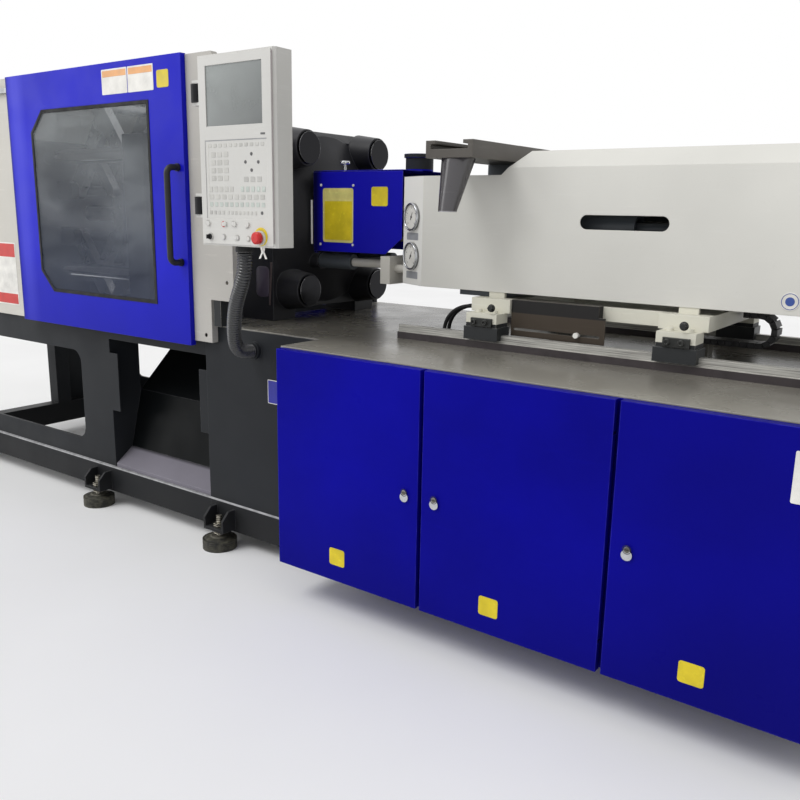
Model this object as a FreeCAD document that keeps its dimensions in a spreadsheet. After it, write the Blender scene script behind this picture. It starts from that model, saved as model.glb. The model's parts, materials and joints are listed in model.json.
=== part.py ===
"""Injection moulding machine: a horizontal toggle machine on a welded bed, in millimetres.

X runs along the machine from the clamp to the injection end, Y across it away from the operator,
Z up from the floor. The origin is the middle of the footprint.
"""
import FreeCAD, Part
import math
import os
import re

import Sketcher
from FreeCAD import Placement, Rotation, Vector

os.makedirs("parts", exist_ok=True)
doc = FreeCAD.newDocument("injection_moulding_machine")

# ---------------------------------------------------------------- driving dimensions
SIZES = {
    # bed
    "centreline": 135, "bed_joint": -37, "foot_height": 68, "bed_depth": 852, "bed_width": 1140,
    "clamp_bed_length": 2103, "injection_bed_length": 2487, "bed_sheet": 5, "bed_wall": 12,
    "beam_height": 121, "beam_width": 80, "wall_setback": 8, "top_beam_height": 120,
    "top_beam_width": 300, "sill_height": 217, "window_height": 426, "window_length": 1109,
    "window_corner": 60, "post_width": 225, "post_depth": 157, "chute_opening": 659,
    "chute_opening_height": 601, "end_beam_width": 80, "tail_post_width": 87, "flange_width": 56,
    "flange_height": 266, "flange_low": 392, "flange_sheet": 6,
    # chute
    "chute_sheet": 4, "chute_setback": 10, "chute_lip": 17, "chute_first_run": 89,
    "chute_first_rise": 65, "chute_second_run": 66, "chute_second_rise": 264, "chute_third_run": 270,
    "chute_third_rise": 255, "chute_side_gap": 4,
    # feet
    "foot_reach": 35, "rear_foot_inset": 40, "hidden_foot_inset": 120, "bolt_play": 0.5,
    "pad_radius": 70, "pad_height": 42, "pad_shoulder": 8, "pad_neck_radius": 34, "pad_neck_height": 10,
    "bolt_radius": 12, "bolt_top": 138, "nut_width": 21, "nut_height": 16, "bracket_width": 116,
    "bracket_plate": 12, "bracket_bottom": 78, "bracket_reach": 68, "ear_sheet": 10, "ear_height": 86,
    "ear_taper": 34, "end_foot_inset": 60, "post_foot_offset": 22, "joint_foot_offset": 87,
    "mid_foot_inset": 1200, "right_foot_inset": 130,
    # tie bars and platens
    "axis_above_bed": 410, "tie_spacing": 455, "tie_rise": 565, "tie_radius": 35, "running_gap": 0.05,
    "platen_size": 660, "platen_height": 730, "platen_bevel": 38, "platen_depth": 180,
    "platen_left": -70, "moving_depth": 150, "tail_depth": 180, "mould_space": 620, "boss_radius": 86,
    "boss_end_radius": 70, "bush_radius": 62, "bush_depth": 40, "boss_depth": 105, "nut_proud": 10,
    "nut_radius": 62, "nut_depth": 65, "hub_radius": 350, "hub_end_radius": 150, "hub_depth": 100,
    "nozzle_hole_radius": 50, "register_radius": 62.5, "register_depth": 25, "foot_block_width": 130,
    "mould_bolt_radius": 8, "mould_bolt_depth": 30, "mould_bolt_spacing": 280, "shoe_gap": 0.3,
    "shoe_overhang": 60, "tail_nut_depth": 70, "tie_tail_length": 180,
    "hub_mouth_radius": 120,
    # toggle: five point, equal links, so each pin moves in a straight line
    "toggle_link": 500, "toggle_angle": 53.2, "toggle_offset": 120, "crank_length": 200,
    "pin_radius": 25, "crank_pin_radius": 18, "link_half_width": 42, "crank_half_width": 30,
    "band_start": 57, "band_depth": 44, "band_gap": 0.5, "ear_length": 80, "ear_root": 46,
    "open_pivot_gap": 0.6, "crosshead_half_length": 40, "crosshead_half_height": 152, "rod_radius": 38,
    "rod_length": 710, "cylinder_radius": 92, "cylinder_bore": 78, "cylinder_length": 540,
    "cylinder_cap": 55, "cylinder_cap_radius": 112, "cylinder_end_wall": 30, "ejector_stroke": 90,
    "ejector_plate": 22, "ejector_size": 180, "ejector_pin_radius": 12, "ejector_pin_spacing": 100,
    "ejector_gap": 110, "ejector_bar_radius": 14, "ejector_bar_spacing": 130,
    "tail_rod_play": 4, "piston_length": 50,
    # covers and guards
    "cover_left": -2500, "cover_overlap": 43, "cover_bottom": 835, "cover_top": 1940, "cover_sheet": 3,
    "cover_lip": 60, "cover_offset": 2, "guard_left": -1293, "guard_width": 1228, "guard_bottom": 834,
    "guard_drop": 6, "guard_depth": 25, "guard_back": 25, "guard_sheet": 3, "guard_bend": 22,
    "pane_left_margin": 197, "pane_right_margin": 197, "pane_bottom_margin": 150,
    "pane_top_margin": 155, "pane_chamfer": 92, "gasket_width": 14, "gasket_proud": 2,
    "gasket_depth": 10, "pane_thickness": 5, "pane_gap": 0.3, "handle_radius": 12,
    "handle_standoff": 55, "handle_from_right": 36, "handle_low": 327, "handle_length": 361,
    "handle_foot_radius": 15, "handle_foot_depth": 10, "handle_bend": 25, "rail_thickness": 16,
    "rail_height": 22, "rail_drop": 60, "rear_guard_drop": 55, "rear_stay_width": 14,
    "low_rail_height": 20, "low_rail_rise": 14, "rail_left": -2080, "roller_radius": 14,
    "roller_inset": 220, "rail_clearance": 1, "hanger_width": 60, "post_left": -63,
    "post_foot_width": 102, "post_head_width": 230, "post_bottom": 853, "post_notch": 1023,
    "post_drop": 10, "post_shoulder": 90, "post_slope": 110, "post_front": -465, "post_sheet": 3,
    "post_hole_radius": 8, "post_hole_inset": 35, "post_high_hole": 71, "post_low_hole": 28,
    "stay_length": 130, "post_stay_inset": 10, "post_stay_width": 40, "post_stay_depth": 20,
    "post_stay_rise": 120,
    # controller
    "controller_left": 248, "controller_front": -685, "controller_width": 364,
    "controller_bottom": 1248, "controller_height": 615, "controller_depth": 80, "controller_sheet": 4,
    "bezel_step": 3, "bezel_inset": 5, "case_chamfer": 9, "screen_left_margin": 47, "screen_width": 263,
    "screen_height": 191, "screen_top_margin": 34, "screen_recess": 7, "screen_thickness": 4,
    "screen_gap": 0.3, "keypad_left_margin": 37, "keypad_width": 291, "keypad_bottom_margin": 91,
    "keypad_height": 254, "keypad_recess": 1.5, "button_radius": 8, "button_height": 5,
    "button_row": 73, "lower_button_row": 29, "stop_from_left": 294, "stop_height": 31,
    "stop_radius": 20, "stop_thickness": 18, "stop_stem_radius": 9, "stop_stem_length": 26,
    "stop_travel": 4, "stop_stem_gap": 0.05, "stop_collar_radius": 24, "stop_collar_height": 8,
    "stop_bore_depth": 30, "key_from_left": 52, "key_height": 29, "key_radius": 9, "key_length": 8,
    "key_stem_radius": 5, "key_stem_length": 14, "swing_axis_x": 224, "swing_axis_y": -660,
    "hinge_size": 40, "hinge_half_height": 30, "hinge_drop": 113, "hinge_spacing": 370, "lug_sheet": 10,
    "lug_gap": 0.3, "swing_pin_radius": 5, "arm_width": 40, "arm_from_post": 120,
    "gland_from_left": 152, "gland_y": -625, "gland_radius": 30, "gland_length": 22, "gland_bore": 20,
    "stop_sleeve": 3, "stop_bevel": 5, "lug_overhang": 10, "lug_half_width": 12, "key_half_sheet": 1.5,
    "key_grip": 12, "key_half_height": 7,
    # hose from the controller to the bed
    "hose_radius": 23, "hose_bore": 19, "hose_rib_height": 3.5, "hose_rib_pitch": 10,
    "hose_entry_x": 245, "hose_entry_height": 843, "socket_length": 16, "socket_radius": 34,
    # cabinet
    "cabinet_end_inset": 57, "cabinet_bottom": 147, "cabinet_top": 915, "cabinet_depth": 199,
    "cabinet_sheet": 3, "cabinet_rim": 20, "divider_half_width": 22, "door_width": 590, "door_gap": 15,
    "door_edge": 9, "door_depth": 25, "door_front": -665, "door_sheet": 2, "door_axis_inset": 12,
    "door_hinge_inset": 90, "door_lug": 10, "door_lug_half": 6, "door_lug_play": 4,
    "door_pin_radius": 4, "door_pin_half": 26, "lock_inset": 48, "lock_height": 362, "lock_radius": 15,
    "lock_proud": 6, "lock_stem": 9, "lock_tongue": 46, "lock_tongue_width": 14, "lock_tongue_sheet": 3,
    "lock_gap": 0.3, "gear_depth": 90, "gear_plate": 3, "gear_margin": 40,
    "gear_gap": 10, "gear_step": 15,
    # pump inside the bed
    "motor_radius": 130, "motor_length": 420, "motor_from_joint": 700, "motor_height": 330,
    "tank_length": 900, "tank_width": 460, "tank_height": 380, "tank_sheet": 4, "tank_inset": 60,
    "cradle_inset": 40, "cradle_half_width": 104, "pump_radius": 52,
    # injection unit: rails and carriages
    "rail_bar_left": 760, "rail_bar_right_inset": 30, "rail_bar_width": 44, "rail_bar_height": 25,
    "unit_rail_width": 26, "unit_rail_height": 24, "unit_rail_spread": 330, "carriage_width": 84,
    "carriage_length": 130, "carriage_height": 44, "carriage_lift": 6, "carriage_gap": 0.3,
    "front_carriage": 1121, "rear_carriage": 1780, "pad_block_height": 46, "pad_block_width": 76,
    "bolt_head_radius": 11, "bolt_head_height": 9, "foot_height_unit": 46, "side_beam_width": 60,
    "side_beam_spread": 235, "side_beam_height": 46, "cross_bar_left": 1198, "cross_bar_length": 312,
    "pad_block_length": 118, "pad_bolt_spread": 30, "unit_foot_length": 150,
    "unit_foot_half_width": 308, "cross_bar_height": 48, "shell_tab_depth": 14, "shell_tab_half": 30,
    "shell_tab_rise": 30,
    # injection unit: plates, barrel, cylinders
    "feed_left": 960, "feed_length": 190, "feed_width": 500, "feed_top": 1541, "throat_radius": 35,
    "barrel_left": 300, "barrel_radius": 55, "barrel_bore": 22.5, "barrel_seat": 170, "band_radius": 63,
    "band_length": 84, "band_count_pitch": 112, "band_first": 340, "nozzle_length": 220,
    "nozzle_radius": 30, "nozzle_tip_radius": 16, "nozzle_base": 60, "nozzle_bore": 4,
    "screw_radius": 14, "screw_flight": 22, "screw_pitch": 45, "screw_land": 6, "screw_tip": 60,
    "screw_start": 315, "screw_flight_length": 690, "cylinder_spread": 165, "shot_cylinder_radius": 48,
    "shot_cylinder_length": 420, "shot_cylinder_bore": 36, "shot_rod_radius": 20,
    "shot_plate_left": 1690, "shot_plate_depth": 60, "shot_plate_width": 470, "shot_plate_height": 250,
    "motor_body_radius": 105, "drive_length": 230, "motor_flange_radius": 125, "motor_flange": 25,
    "shot_stroke": 110, "shaft_radius": 25,
    "feed_shoulder": 110, "feed_neck_gap": 5, "feed_neck_half": 85, "shot_bore_start": 20,
    "barrel_throat_radius": 24.5, "band_play": 0.3, "clasp_inset": 12, "clasp_half": 9,
    "clasp_height": 14, "screw_runout": 15, "screw_point_radius": 3, "shaft_start": 6,
    "shaft_end_gap": 7, "shot_piston": 40, "shot_piston_start": 24, "port_length": 90, "port_inset": 10,
    "port_half_width": 45, "port_sink": 12, "port_rise": 30,
    # seat cylinders that pull the unit to the mould
    "seat_height": 1167, "seat_spread": 135, "seat_radius": 30, "seat_length": 168, "seat_bore": 17,
    "seat_boss": 6, "seat_bore_depth": 55, "seat_rod_inside": 68, "seat_strap_depth": 12,
    "seat_strap_half_height": 14, "seat_plate_below": 68, "seat_plate_above": 36, "seat_guide_drop": 10,
    "seat_guide_offset": 50, "seat_plate_left": 585, "seat_plate_depth": 45, "seat_plate_width": 460,
    "seat_guide_radius": 16,
    # injection cover
    "shell_left": 676, "nose_right": 804, "nose_setback": 62, "shell_right": 2490, "shell_front": -135,
    "shell_sheet": 3, "shell_bottom": 1106, "shell_low_top": 1497, "shell_fold": 1521,
    "shell_top": 1575, "shell_bevel": 50, "shell_step_start": 1120, "shell_step_end": 1205,
    "slot_left": 1413, "slot_length": 287, "slot_height": 45, "slot_axis": 1349, "gauge_high": 1353,
    "gauge_low": 1211, "gauge_bezel": 50, "gauge_body": 43, "gauge_proud": 12, "gauge_depth": 18,
    "gauge_play": 0.3, "gauge_dial_depth": 5, "gauge_rim": 6,
    # hood and hinged guard over the nozzle
    "hood_left": 217, "hood_right": 662, "hood_front": -62, "hood_bottom": 1209, "hood_top": 1525,
    "hood_sheet": 3, "hood_chamfer_start": 584, "hood_chamfer_rise": 62, "hood_gap": 2,
    "hood_hinge_radius": 5, "hood_arm_spread": 130, "hood_arm_width": 30, "hood_arm_height": 20,
    "vent_x": 622, "vent_y": 100, "vent_radius": 54, "vent_height": 50, "vent_cap_radius": 60,
    "vent_cap_height": 14,
    "hood_leaf_depth": 12, "hood_clearance": 20, "hood_pin_radius": 3, "hood_seat": 8,
    # hopper slide and discharge tube
    "slide_left": 966, "slide_width": 176, "slide_front": -360, "slide_rear": 260, "slide_height": 54,
    "slide_groove_width": 140, "slide_groove_low": 27, "slide_groove_height": 16, "slide_neck": 104,
    "slide_plate_length": 250, "slide_plate_proud": 6, "slide_gap": 0.3, "hopper_bolt_radius": 6,
    "hopper_bolt_spacing_x": 80, "hopper_bolt_spacing_y": 200, "tube_y": -300, "tube_top_radius": 55,
    "tube_foot_radius": 30, "tube_drop": 168, "tube_lean": 59, "tube_wall": 3, "tube_mouth_radius": 45,
    # limit plate with its clamped stop
    "limit_left": 1198, "limit_right": 1533, "limit_low": 967, "limit_height": 86, "limit_sheet": 3,
    "limit_y": -163, "limit_slot_left": 1212, "limit_slot_length": 300, "limit_slot_height": 8,
    "limit_slot_axis": 991, "stop_x": 1439, "stop_knob_radius": 9, "stop_knob_length": 12,
    "stop_shank_radius": 3.5,
    "limit_overlap": 6, "stop_play": 0.3, "stop_shank_reach": 8, "stop_nut_half": 8,
    "stop_nut_depth": 6,
    # cable chain and hoses of the injection unit
    "chain_width": 70, "chain_thickness": 18, "chain_bend": 39, "chain_centre_x": 1923, "chain_y": 165,
    "chain_low": 964, "chain_low_run": 190, "chain_high_run": 62, "chain_link": 23, "chain_groove": 2,
    "small_hose_radius": 7,
    "chain_seat_length": 40, "chain_seat_inset": 6,
}

# Places worked out from the sizes; each formula may use sizes and the places above it.
PLACES = {
    "bed_front": "centreline - bed_width / 2",
    "bed_rear": "centreline + bed_width / 2",
    "clamp_end": "bed_joint - clamp_bed_length",
    "injection_end": "bed_joint + injection_bed_length",
    "bed_top": "foot_height + bed_depth",
    "beam_top": "foot_height + beam_height",
    "post_right": "bed_joint - chute_opening",
    "post_edge": "post_right - post_width",
    "window_left": "post_edge - window_length",
    "window_low": "foot_height + sill_height",
    "window_high": "window_low + window_height",
    "front_feet": "bed_front - foot_reach",
    "rear_feet": "bed_rear - rear_foot_inset",
    "axis_height": "bed_top + axis_above_bed",
    "platen_right": "platen_left + platen_depth",
    "platen_low": "axis_height - platen_height / 2",
    "platen_top": "axis_height + platen_height / 2",
    "hub_end": "platen_right + hub_depth",
    "seat_plate_right": "seat_plate_left + seat_plate_depth",
    "hidden_front_feet": "bed_front + hidden_foot_inset",
    "moving_right": "platen_left - mould_space",
    "moving_left": "moving_right - moving_depth",
    "platen_pivot": "moving_left - ear_length",
    "knee_x": "platen_pivot - toggle_link * cos(toggle_angle)",
    "knee_rise": "toggle_offset + toggle_link * sin(toggle_angle)",
    "tail_pivot": "platen_pivot - 2 * toggle_link * cos(toggle_angle)",
    "tail_right": "tail_pivot - ear_length",
    "tail_left": "tail_right - tail_depth",
    "crank_x": "tail_pivot + crank_length * cos(toggle_angle)",
    "crank_rise": "toggle_offset + crank_length * sin(toggle_angle)",
    "crosshead_x": "tail_pivot + 2 * crank_length * cos(toggle_angle)",
    "band_a": "band_start",
    "band_b": "band_start + band_depth + band_gap",
    "band_c": "band_start + 2 * (band_depth + band_gap)",
    "band_end": "band_start + 3 * (band_depth + band_gap)",
    "guard_right": "guard_left + guard_width",
    "guard_top": "cover_top - guard_drop",
    "guard_back_face": "bed_front - guard_back",
    "guard_front": "guard_back_face - guard_depth",
    "rear_guard_back": "bed_rear + guard_back",
    "rear_guard_right": "platen_left - rear_stay_width",
    "rear_guard_top": "platen_top - rear_guard_drop",
    "rear_rail_z": "rear_guard_top - rail_drop",
    "rear_rail_right": "platen_left + 2 * rear_stay_width",
    "pane_left": "guard_left + pane_left_margin",
    "pane_right": "guard_right - pane_right_margin",
    "pane_low": "guard_bottom + pane_bottom_margin",
    "pane_high": "guard_top - pane_top_margin",
    "rear_pane_high": "rear_guard_top - pane_top_margin",
    "handle_x": "guard_right - handle_from_right",
    "handle_z": "guard_bottom + handle_low",
    "cover_right": "guard_left + cover_overlap",
    "cover_face": "bed_front - cover_offset - cover_sheet",
    "post_top": "cover_top - post_drop",
    "rail_z": "guard_top - rail_drop",
    "rail_right": "post_left",
    "strip_low": "guard_bottom + guard_sheet + low_rail_rise",
    "strip_front": "bed_front - rail_thickness",
    "rail_back": "cover_face",
    "rear_rail_face": "2 * centreline - rail_back",
    "controller_right": "controller_left + controller_width",
    "controller_top": "controller_bottom + controller_height",
    "controller_back": "controller_front + controller_depth",
    "screen_left": "controller_left + screen_left_margin",
    "screen_high": "controller_top - screen_top_margin",
    "keypad_left": "controller_left + keypad_left_margin",
    "keypad_low": "controller_bottom + keypad_bottom_margin",
    "stop_button_x": "controller_left + stop_from_left",
    "stop_button_z": "controller_bottom + stop_height",
    "key_x": "controller_left + key_from_left",
    "key_z": "controller_bottom + key_height",
    "cabinet_front": "bed_front - cabinet_depth",
    "cabinet_right": "injection_end - cabinet_end_inset",
    "cabinet_left": "cabinet_right - 2 * door_edge - 3 * door_width - 2 * door_gap",
    "door_back": "door_front + door_depth",
    "door_axis_y": "door_front + door_depth / 2",
    "unit_rail_z": "bed_top + rail_bar_height",
    "carriage_low": "unit_rail_z + carriage_lift",
    "carriage_high": "carriage_low + carriage_height",
    "pad_high": "carriage_high + pad_block_height",
    "unit_low": "pad_high",
    "unit_high": "unit_low + foot_height_unit",
    "front_rail": "centreline - unit_rail_spread",
    "rear_rail": "centreline + unit_rail_spread",
    "feed_right": "feed_left + feed_length",
    "throat_x": "slide_left + slide_width / 2",
    "shot_plate_right": "shot_plate_left + shot_plate_depth",
    "shell_rear": "2 * centreline - shell_front",
    "shell_half": "centreline - shell_front",
    "nose_front": "shell_front + nose_setback",
    "nose_rear": "shell_rear - nose_setback",
    "gauge_x": "(shell_left + nose_right) / 2",
    "gauge_y": "(shell_front + nose_front) / 2",
    "hood_rear": "2 * centreline - hood_front",
}

sheet = doc.addObject("Spreadsheet::Sheet", "Sizes")
for row, (alias, value) in enumerate(SIZES.items(), start=1):
    sheet.set(f"A{row}", str(value))
    sheet.setAlias(f"A{row}", alias)
doc.recompute()

WORD = re.compile(r"[a-z_]+[a-z_0-9]*")


def formula(text):
    """Turn a formula in sizes and places into an expression on the sheet's cells."""
    def cell(match):
        word = match.group(0)
        if word in PLACES:
            return "(" + formula(PLACES[word]) + ")"
        if word in SIZES:
            return "Sizes." + word
        return word
    return WORD.sub(cell, str(text))


def size(alias):
    return float(sheet.get(alias))


# ---------------------------------------------------------------- building blocks
NODES = []


def bind(item, name, text):
    item.setExpression(name, formula(text))


def locate(item, x="0", y="0", z="0"):
    bind(item, "Placement.Base.x", x)
    bind(item, "Placement.Base.y", y)
    bind(item, "Placement.Base.z", z)
    return item


def block(x, y, z):
    """Box between the low and high formulas of each axis."""
    item = doc.addObject("Part::Box", "Block")
    for length, (low, high) in zip(("Length", "Width", "Height"), (x, y, z)):
        bind(item, length, f"({high}) - ({low})")
    return locate(item, x[0], y[0], z[0])


TURNS = {
    "x": Rotation(Vector(0, 1, 0), 90),
    "y": Rotation(Vector(1, 0, 0), -90),
    "z": Rotation(),
}


def turned(kind, axis, span, centre):
    """Round primitive along an axis; centre holds the other two coordinates in X, Y, Z order."""
    item = doc.addObject(kind, "Round")
    item.Placement = Placement(Vector(), TURNS[axis])
    bind(item, "Height", f"({span[1]}) - ({span[0]})")
    place = {"x": (span[0], *centre), "y": (centre[0], span[0], centre[1]), "z": (*centre, span[0])}
    return locate(item, *place[axis])


def rod(axis, span, centre, radius):
    item = turned("Part::Cylinder", axis, span, centre)
    bind(item, "Radius", radius)
    return item


def cone(axis, span, centre, start_radius, end_radius):
    item = turned("Part::Cone", axis, span, centre)
    bind(item, "Radius1", start_radius)
    bind(item, "Radius2", end_radius)
    return item


def hexagon(span, centre, flats):
    """Hexagonal bar along Z, of half width flats across its flats."""
    outline = doc.addObject("Part::RegularPolygon", "Hexagon")
    outline.Polygon = 6
    bind(outline, "Circumradius", f"({flats}) / cos(30)")
    item = doc.addObject("Part::Extrusion", "HexagonBar")
    item.Base = outline
    item.DirMode = "Custom"
    item.Dir = Vector(0, 0, 1)
    item.Solid = True
    bind(item, "LengthFwd", f"({span[1]}) - ({span[0]})")
    return locate(item, *centre, span[0])


def fuse(*items):
    if len(items) == 1:
        return items[0]
    item = doc.addObject("Part::MultiFuse", "Fused")
    item.Shapes = list(items)
    item.Refine = True
    return item


def cut(base, *tools):
    item = doc.addObject("Part::Cut", "CutOut")
    item.Base = base
    item.Tool = fuse(*tools)
    item.Refine = True
    return item


def common(*items):
    item = doc.addObject("Part::MultiCommon", "Common")
    item.Shapes = list(items)
    return item


def group(*items):
    """Separate solids kept in one node."""
    item = doc.addObject("Part::Compound", "Group")
    item.Links = list(items)
    return item


PLANES = {"xy": "XY_Plane", "xz": "XZ_Plane", "yz": "YZ_Plane"}


def prism(plane, outline, span):
    """Body padded from a closed outline of formulas, between the low and high of its normal."""
    body = doc.addObject("PartDesign::Body", "Profile")
    sketch = body.newObject("Sketcher::SketchObject", "Outline")
    origin = [f for f in body.Origin.OriginFeatures if f.Role == PLANES[plane]][0]
    sketch.AttachmentSupport = [(origin, "")]
    sketch.MapMode = "FlatFace"
    count = len(outline)
    turn = 2 * math.pi / count
    start = [Vector(100 * math.cos(i * turn), 100 * math.sin(i * turn), 0) for i in range(count)]
    for i in range(count):
        sketch.addGeometry(Part.LineSegment(start[i], start[(i + 1) % count]), False)
    for i in range(count):
        sketch.addConstraint(Sketcher.Constraint("Coincident", i, 2, (i + 1) % count, 1))
    for i, corner in enumerate(outline):
        for kind, text, guess in zip(("DistanceX", "DistanceY"), corner, (start[i].x, start[i].y)):
            index = sketch.addConstraint(Sketcher.Constraint(kind, -1, 1, i, 1, guess))
            sketch.setExpression(f"Constraints[{index}]", formula(text))
    pad = body.newObject("PartDesign::Pad", "Pad")
    pad.Profile = sketch
    pad.Reversed = plane == "xz"
    bind(pad, "Length", f"({span[1]}) - ({span[0]})")
    normal = {"xy": "z", "xz": "y", "yz": "x"}[plane]
    bind(body, f"Placement.Base.{normal}", span[0])
    return body


def node(label, item):
    item.Label = label
    NODES.append(item)
    return item


def both_sides(depth_low, depth_high):
    """The same span measured inwards from the bed's front face and from its rear face."""
    return (
        (f"bed_front + {depth_low}", f"bed_front + {depth_high}"),
        (f"bed_rear - ({depth_high})", f"bed_rear - ({depth_low})"),
    )


def about_centre(low, high):
    """The same span on both sides of the centreline."""
    return (
        (f"centreline - ({high})", f"centreline - ({low})"),
        (f"centreline + ({low})", f"centreline + ({high})"),
    )


def around(centre, half):
    return (f"{centre} - ({half})", f"{centre} + ({half})")


TIE_CORNERS = [
    (f"centreline {sy} tie_spacing / 2", f"axis_height {sz} tie_rise / 2") for sy in "-+" for sz in "-+"
]

# ---------------------------------------------------------------- bed of the clamp


def foot_bracket(x):
    """Welded bracket on the bed's front face: a drilled plate between two ears."""
    y = ("bed_front - bracket_reach", "bed_front")
    plate_z = ("bracket_bottom", "bracket_bottom + bracket_plate")
    plate = block(around(x, "bracket_width / 2"), y, plate_z)
    outline = [
        ("bed_front", "bracket_bottom"),
        (y[0], "bracket_bottom"),
        (y[0], "bracket_bottom + ear_height - ear_taper"),
        (f"{y[0]} + ear_taper", "bracket_bottom + ear_height"),
        ("bed_front", "bracket_bottom + ear_height"),
    ]
    left = prism("yz", outline, (f"{x} - bracket_width / 2", f"{x} - bracket_width / 2 + ear_sheet"))
    right = prism("yz", outline, (f"{x} + bracket_width / 2 - ear_sheet", f"{x} + bracket_width / 2"))
    hole = rod(
        "z", ("bracket_bottom - 1", "bracket_bottom + bracket_plate + 1"), (x, "front_feet"),
        "bolt_radius + bolt_play",
    )
    return cut(fuse(plate, left, right), hole)


def foot_hole(x, y):
    """Hole in the underside of the bed for the bolt of a foot that stands under it."""
    return rod("z", ("foot_height - 1", "bolt_top + 1"), (x, y), "bolt_radius + bolt_play")


def rounded_window(x, y, z, corner):
    """Cutting tool for a window with rounded corners through a wall."""
    parts = [
        block(x, y, (f"{z[0]} + {corner}", f"{z[1]} - {corner}")),
        block((f"{x[0]} + {corner}", f"{x[1]} - {corner}"), y, z),
    ]
    for cx in (f"{x[0]} + {corner}", f"{x[1]} - {corner}"):
        for cz in (f"{z[0]} + {corner}", f"{z[1]} - {corner}"):
            parts.append(rod("y", y, (cx, cz), corner))
    return fuse(*parts)


CLAMP_FEET = ("clamp_end + end_foot_inset", "post_edge + bracket_width + post_foot_offset")
JOINT_FOOT = "bed_joint + joint_foot_offset"
RIGHT_FEET = ("injection_end - mid_foot_inset", "injection_end - right_foot_inset")


def clamp_bed():
    length = ("clamp_end", "bed_joint")
    parts = []
    for beam in both_sides("0", "beam_width"):
        parts.append(block(length, beam, ("foot_height", "beam_top")))
    for wall in both_sides("wall_setback", "wall_setback + bed_wall"):
        plate = block(length, wall, ("beam_top", "bed_top"))
        long_window = rounded_window(
            ("window_left", "post_edge"), wall, ("window_low", "window_high"), "window_corner"
        )
        opening = block(
            ("post_right", "bed_joint"), wall, ("beam_top", "beam_top + chute_opening_height")
        )
        parts.append(cut(plate, long_window, opening))
    inside = "wall_setback + bed_wall"
    for beam in both_sides(inside, "top_beam_width"):
        parts.append(block(length, beam, ("bed_top - top_beam_height", "bed_top")))
    for post in both_sides(inside, "wall_setback + post_depth"):
        parts.append(block(("post_edge", "post_right"), post, ("foot_height", "bed_top - top_beam_height")))
    for post in both_sides(inside, "beam_width"):
        parts.append(block(("clamp_end", "window_left"), post, ("beam_top", "bed_top - top_beam_height")))
    # cross beams under the tail platen and its centre post
    across = ("bed_front + beam_width", "bed_rear - beam_width")
    end = ("clamp_end", "clamp_end + end_beam_width")
    parts.append(block(end, across, ("foot_height", "beam_top")))
    top_across = ("bed_front + top_beam_width", "bed_rear - top_beam_width")
    parts.append(block(end, top_across, ("bed_top - top_beam_height", "bed_top")))
    post = ("centreline", "centreline + tail_post_width")
    parts.append(block(end, post, ("beam_top", "bed_top - top_beam_height")))
    panel = (
        "centreline + tail_post_width", "bed_rear - wall_setback - bed_wall"
    )
    parts.append(
        block(("clamp_end", "clamp_end + bed_wall"), panel, ("beam_top", "bed_top - top_beam_height"))
    )
    # upright stops at both sides of the chute opening
    stop_z = ("foot_height + flange_low", "foot_height + flange_low + flange_height")
    for stop_y in both_sides("wall_setback", "wall_setback + flange_sheet"):
        parts.append(block(("post_right", "post_right + flange_width"), stop_y, stop_z))
        parts.append(block(("bed_joint - flange_width", "bed_joint"), stop_y, stop_z))
    for x in CLAMP_FEET:
        parts.append(foot_bracket(x))
    return cut(fuse(*parts), *[foot_hole(x, "rear_feet") for x in CLAMP_FEET])


node("clamp_bed", clamp_bed())


def discharge_chute():
    """Folded sheet that leads the mouldings from the mould space out of the front."""
    run = ["bed_front + chute_setback"]
    rise = ["beam_top + chute_lip"]
    for part in ("first", "second", "third"):
        run.append(f"{run[-1]} + chute_{part}_run")
        rise.append(f"{rise[-1]} + chute_{part}_rise")
    upper = [(run[0], "beam_top"), *zip(run, rise)]
    lower = [(f"{y} + chute_sheet", z) for y, z in reversed(upper)]
    outline = upper + lower
    span = ("post_right + chute_side_gap", "bed_joint - chute_side_gap")
    return prism("yz", outline, span)


node("discharge_chute", discharge_chute())

# ---------------------------------------------------------------- bed of the injection unit


def injection_bed():
    outer = block(
        ("bed_joint", "injection_end"), ("bed_front", "bed_rear"), ("foot_height", "bed_top - bed_sheet")
    )
    inner = block(
        ("bed_joint + bed_wall", "injection_end - bed_wall"),
        ("bed_front + bed_wall", "bed_rear - bed_wall"),
        ("foot_height + bed_wall", "bed_top + 1"),
    )
    hose_hole = rod(
        "y", ("bed_front - 1", "bed_front + bed_wall + 1"), ("hose_entry_x", "hose_entry_height"),
        "hose_bore"
    )
    socket = cut(
        rod(
            "y", ("bed_front - socket_length", "bed_front"), ("hose_entry_x", "hose_entry_height"),
            "socket_radius"
        ),
        rod(
            "y", ("bed_front - socket_length - 1", "bed_front + 1"), ("hose_entry_x", "hose_entry_height"),
            "hose_bore"
        ),
    )
    parts = [cut(outer, inner, hose_hole), socket]
    parts.append(foot_bracket(JOINT_FOOT))
    holes = [foot_hole(x, "rear_feet") for x in (JOINT_FOOT, *RIGHT_FEET)]
    holes += [foot_hole(x, "hidden_front_feet") for x in RIGHT_FEET]
    return cut(fuse(*parts), *holes)


node("injection_bed", injection_bed())

node("bed_top_plate", fuse(
    block(("bed_joint", "injection_end"), ("bed_front", "bed_rear"), ("bed_top - bed_sheet", "bed_top")),
    block(("cabinet_left", "cabinet_right"), ("cabinet_front", "bed_front"), ("cabinet_top", "bed_top")),
    block(
        ("chain_centre_x - chain_low_run", "chain_centre_x - chain_low_run + chain_seat_length"),
        around("chain_y", "chain_width / 2 - chain_seat_inset"),
        ("bed_top", "chain_low - shoe_gap"),
    ),
))


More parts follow.
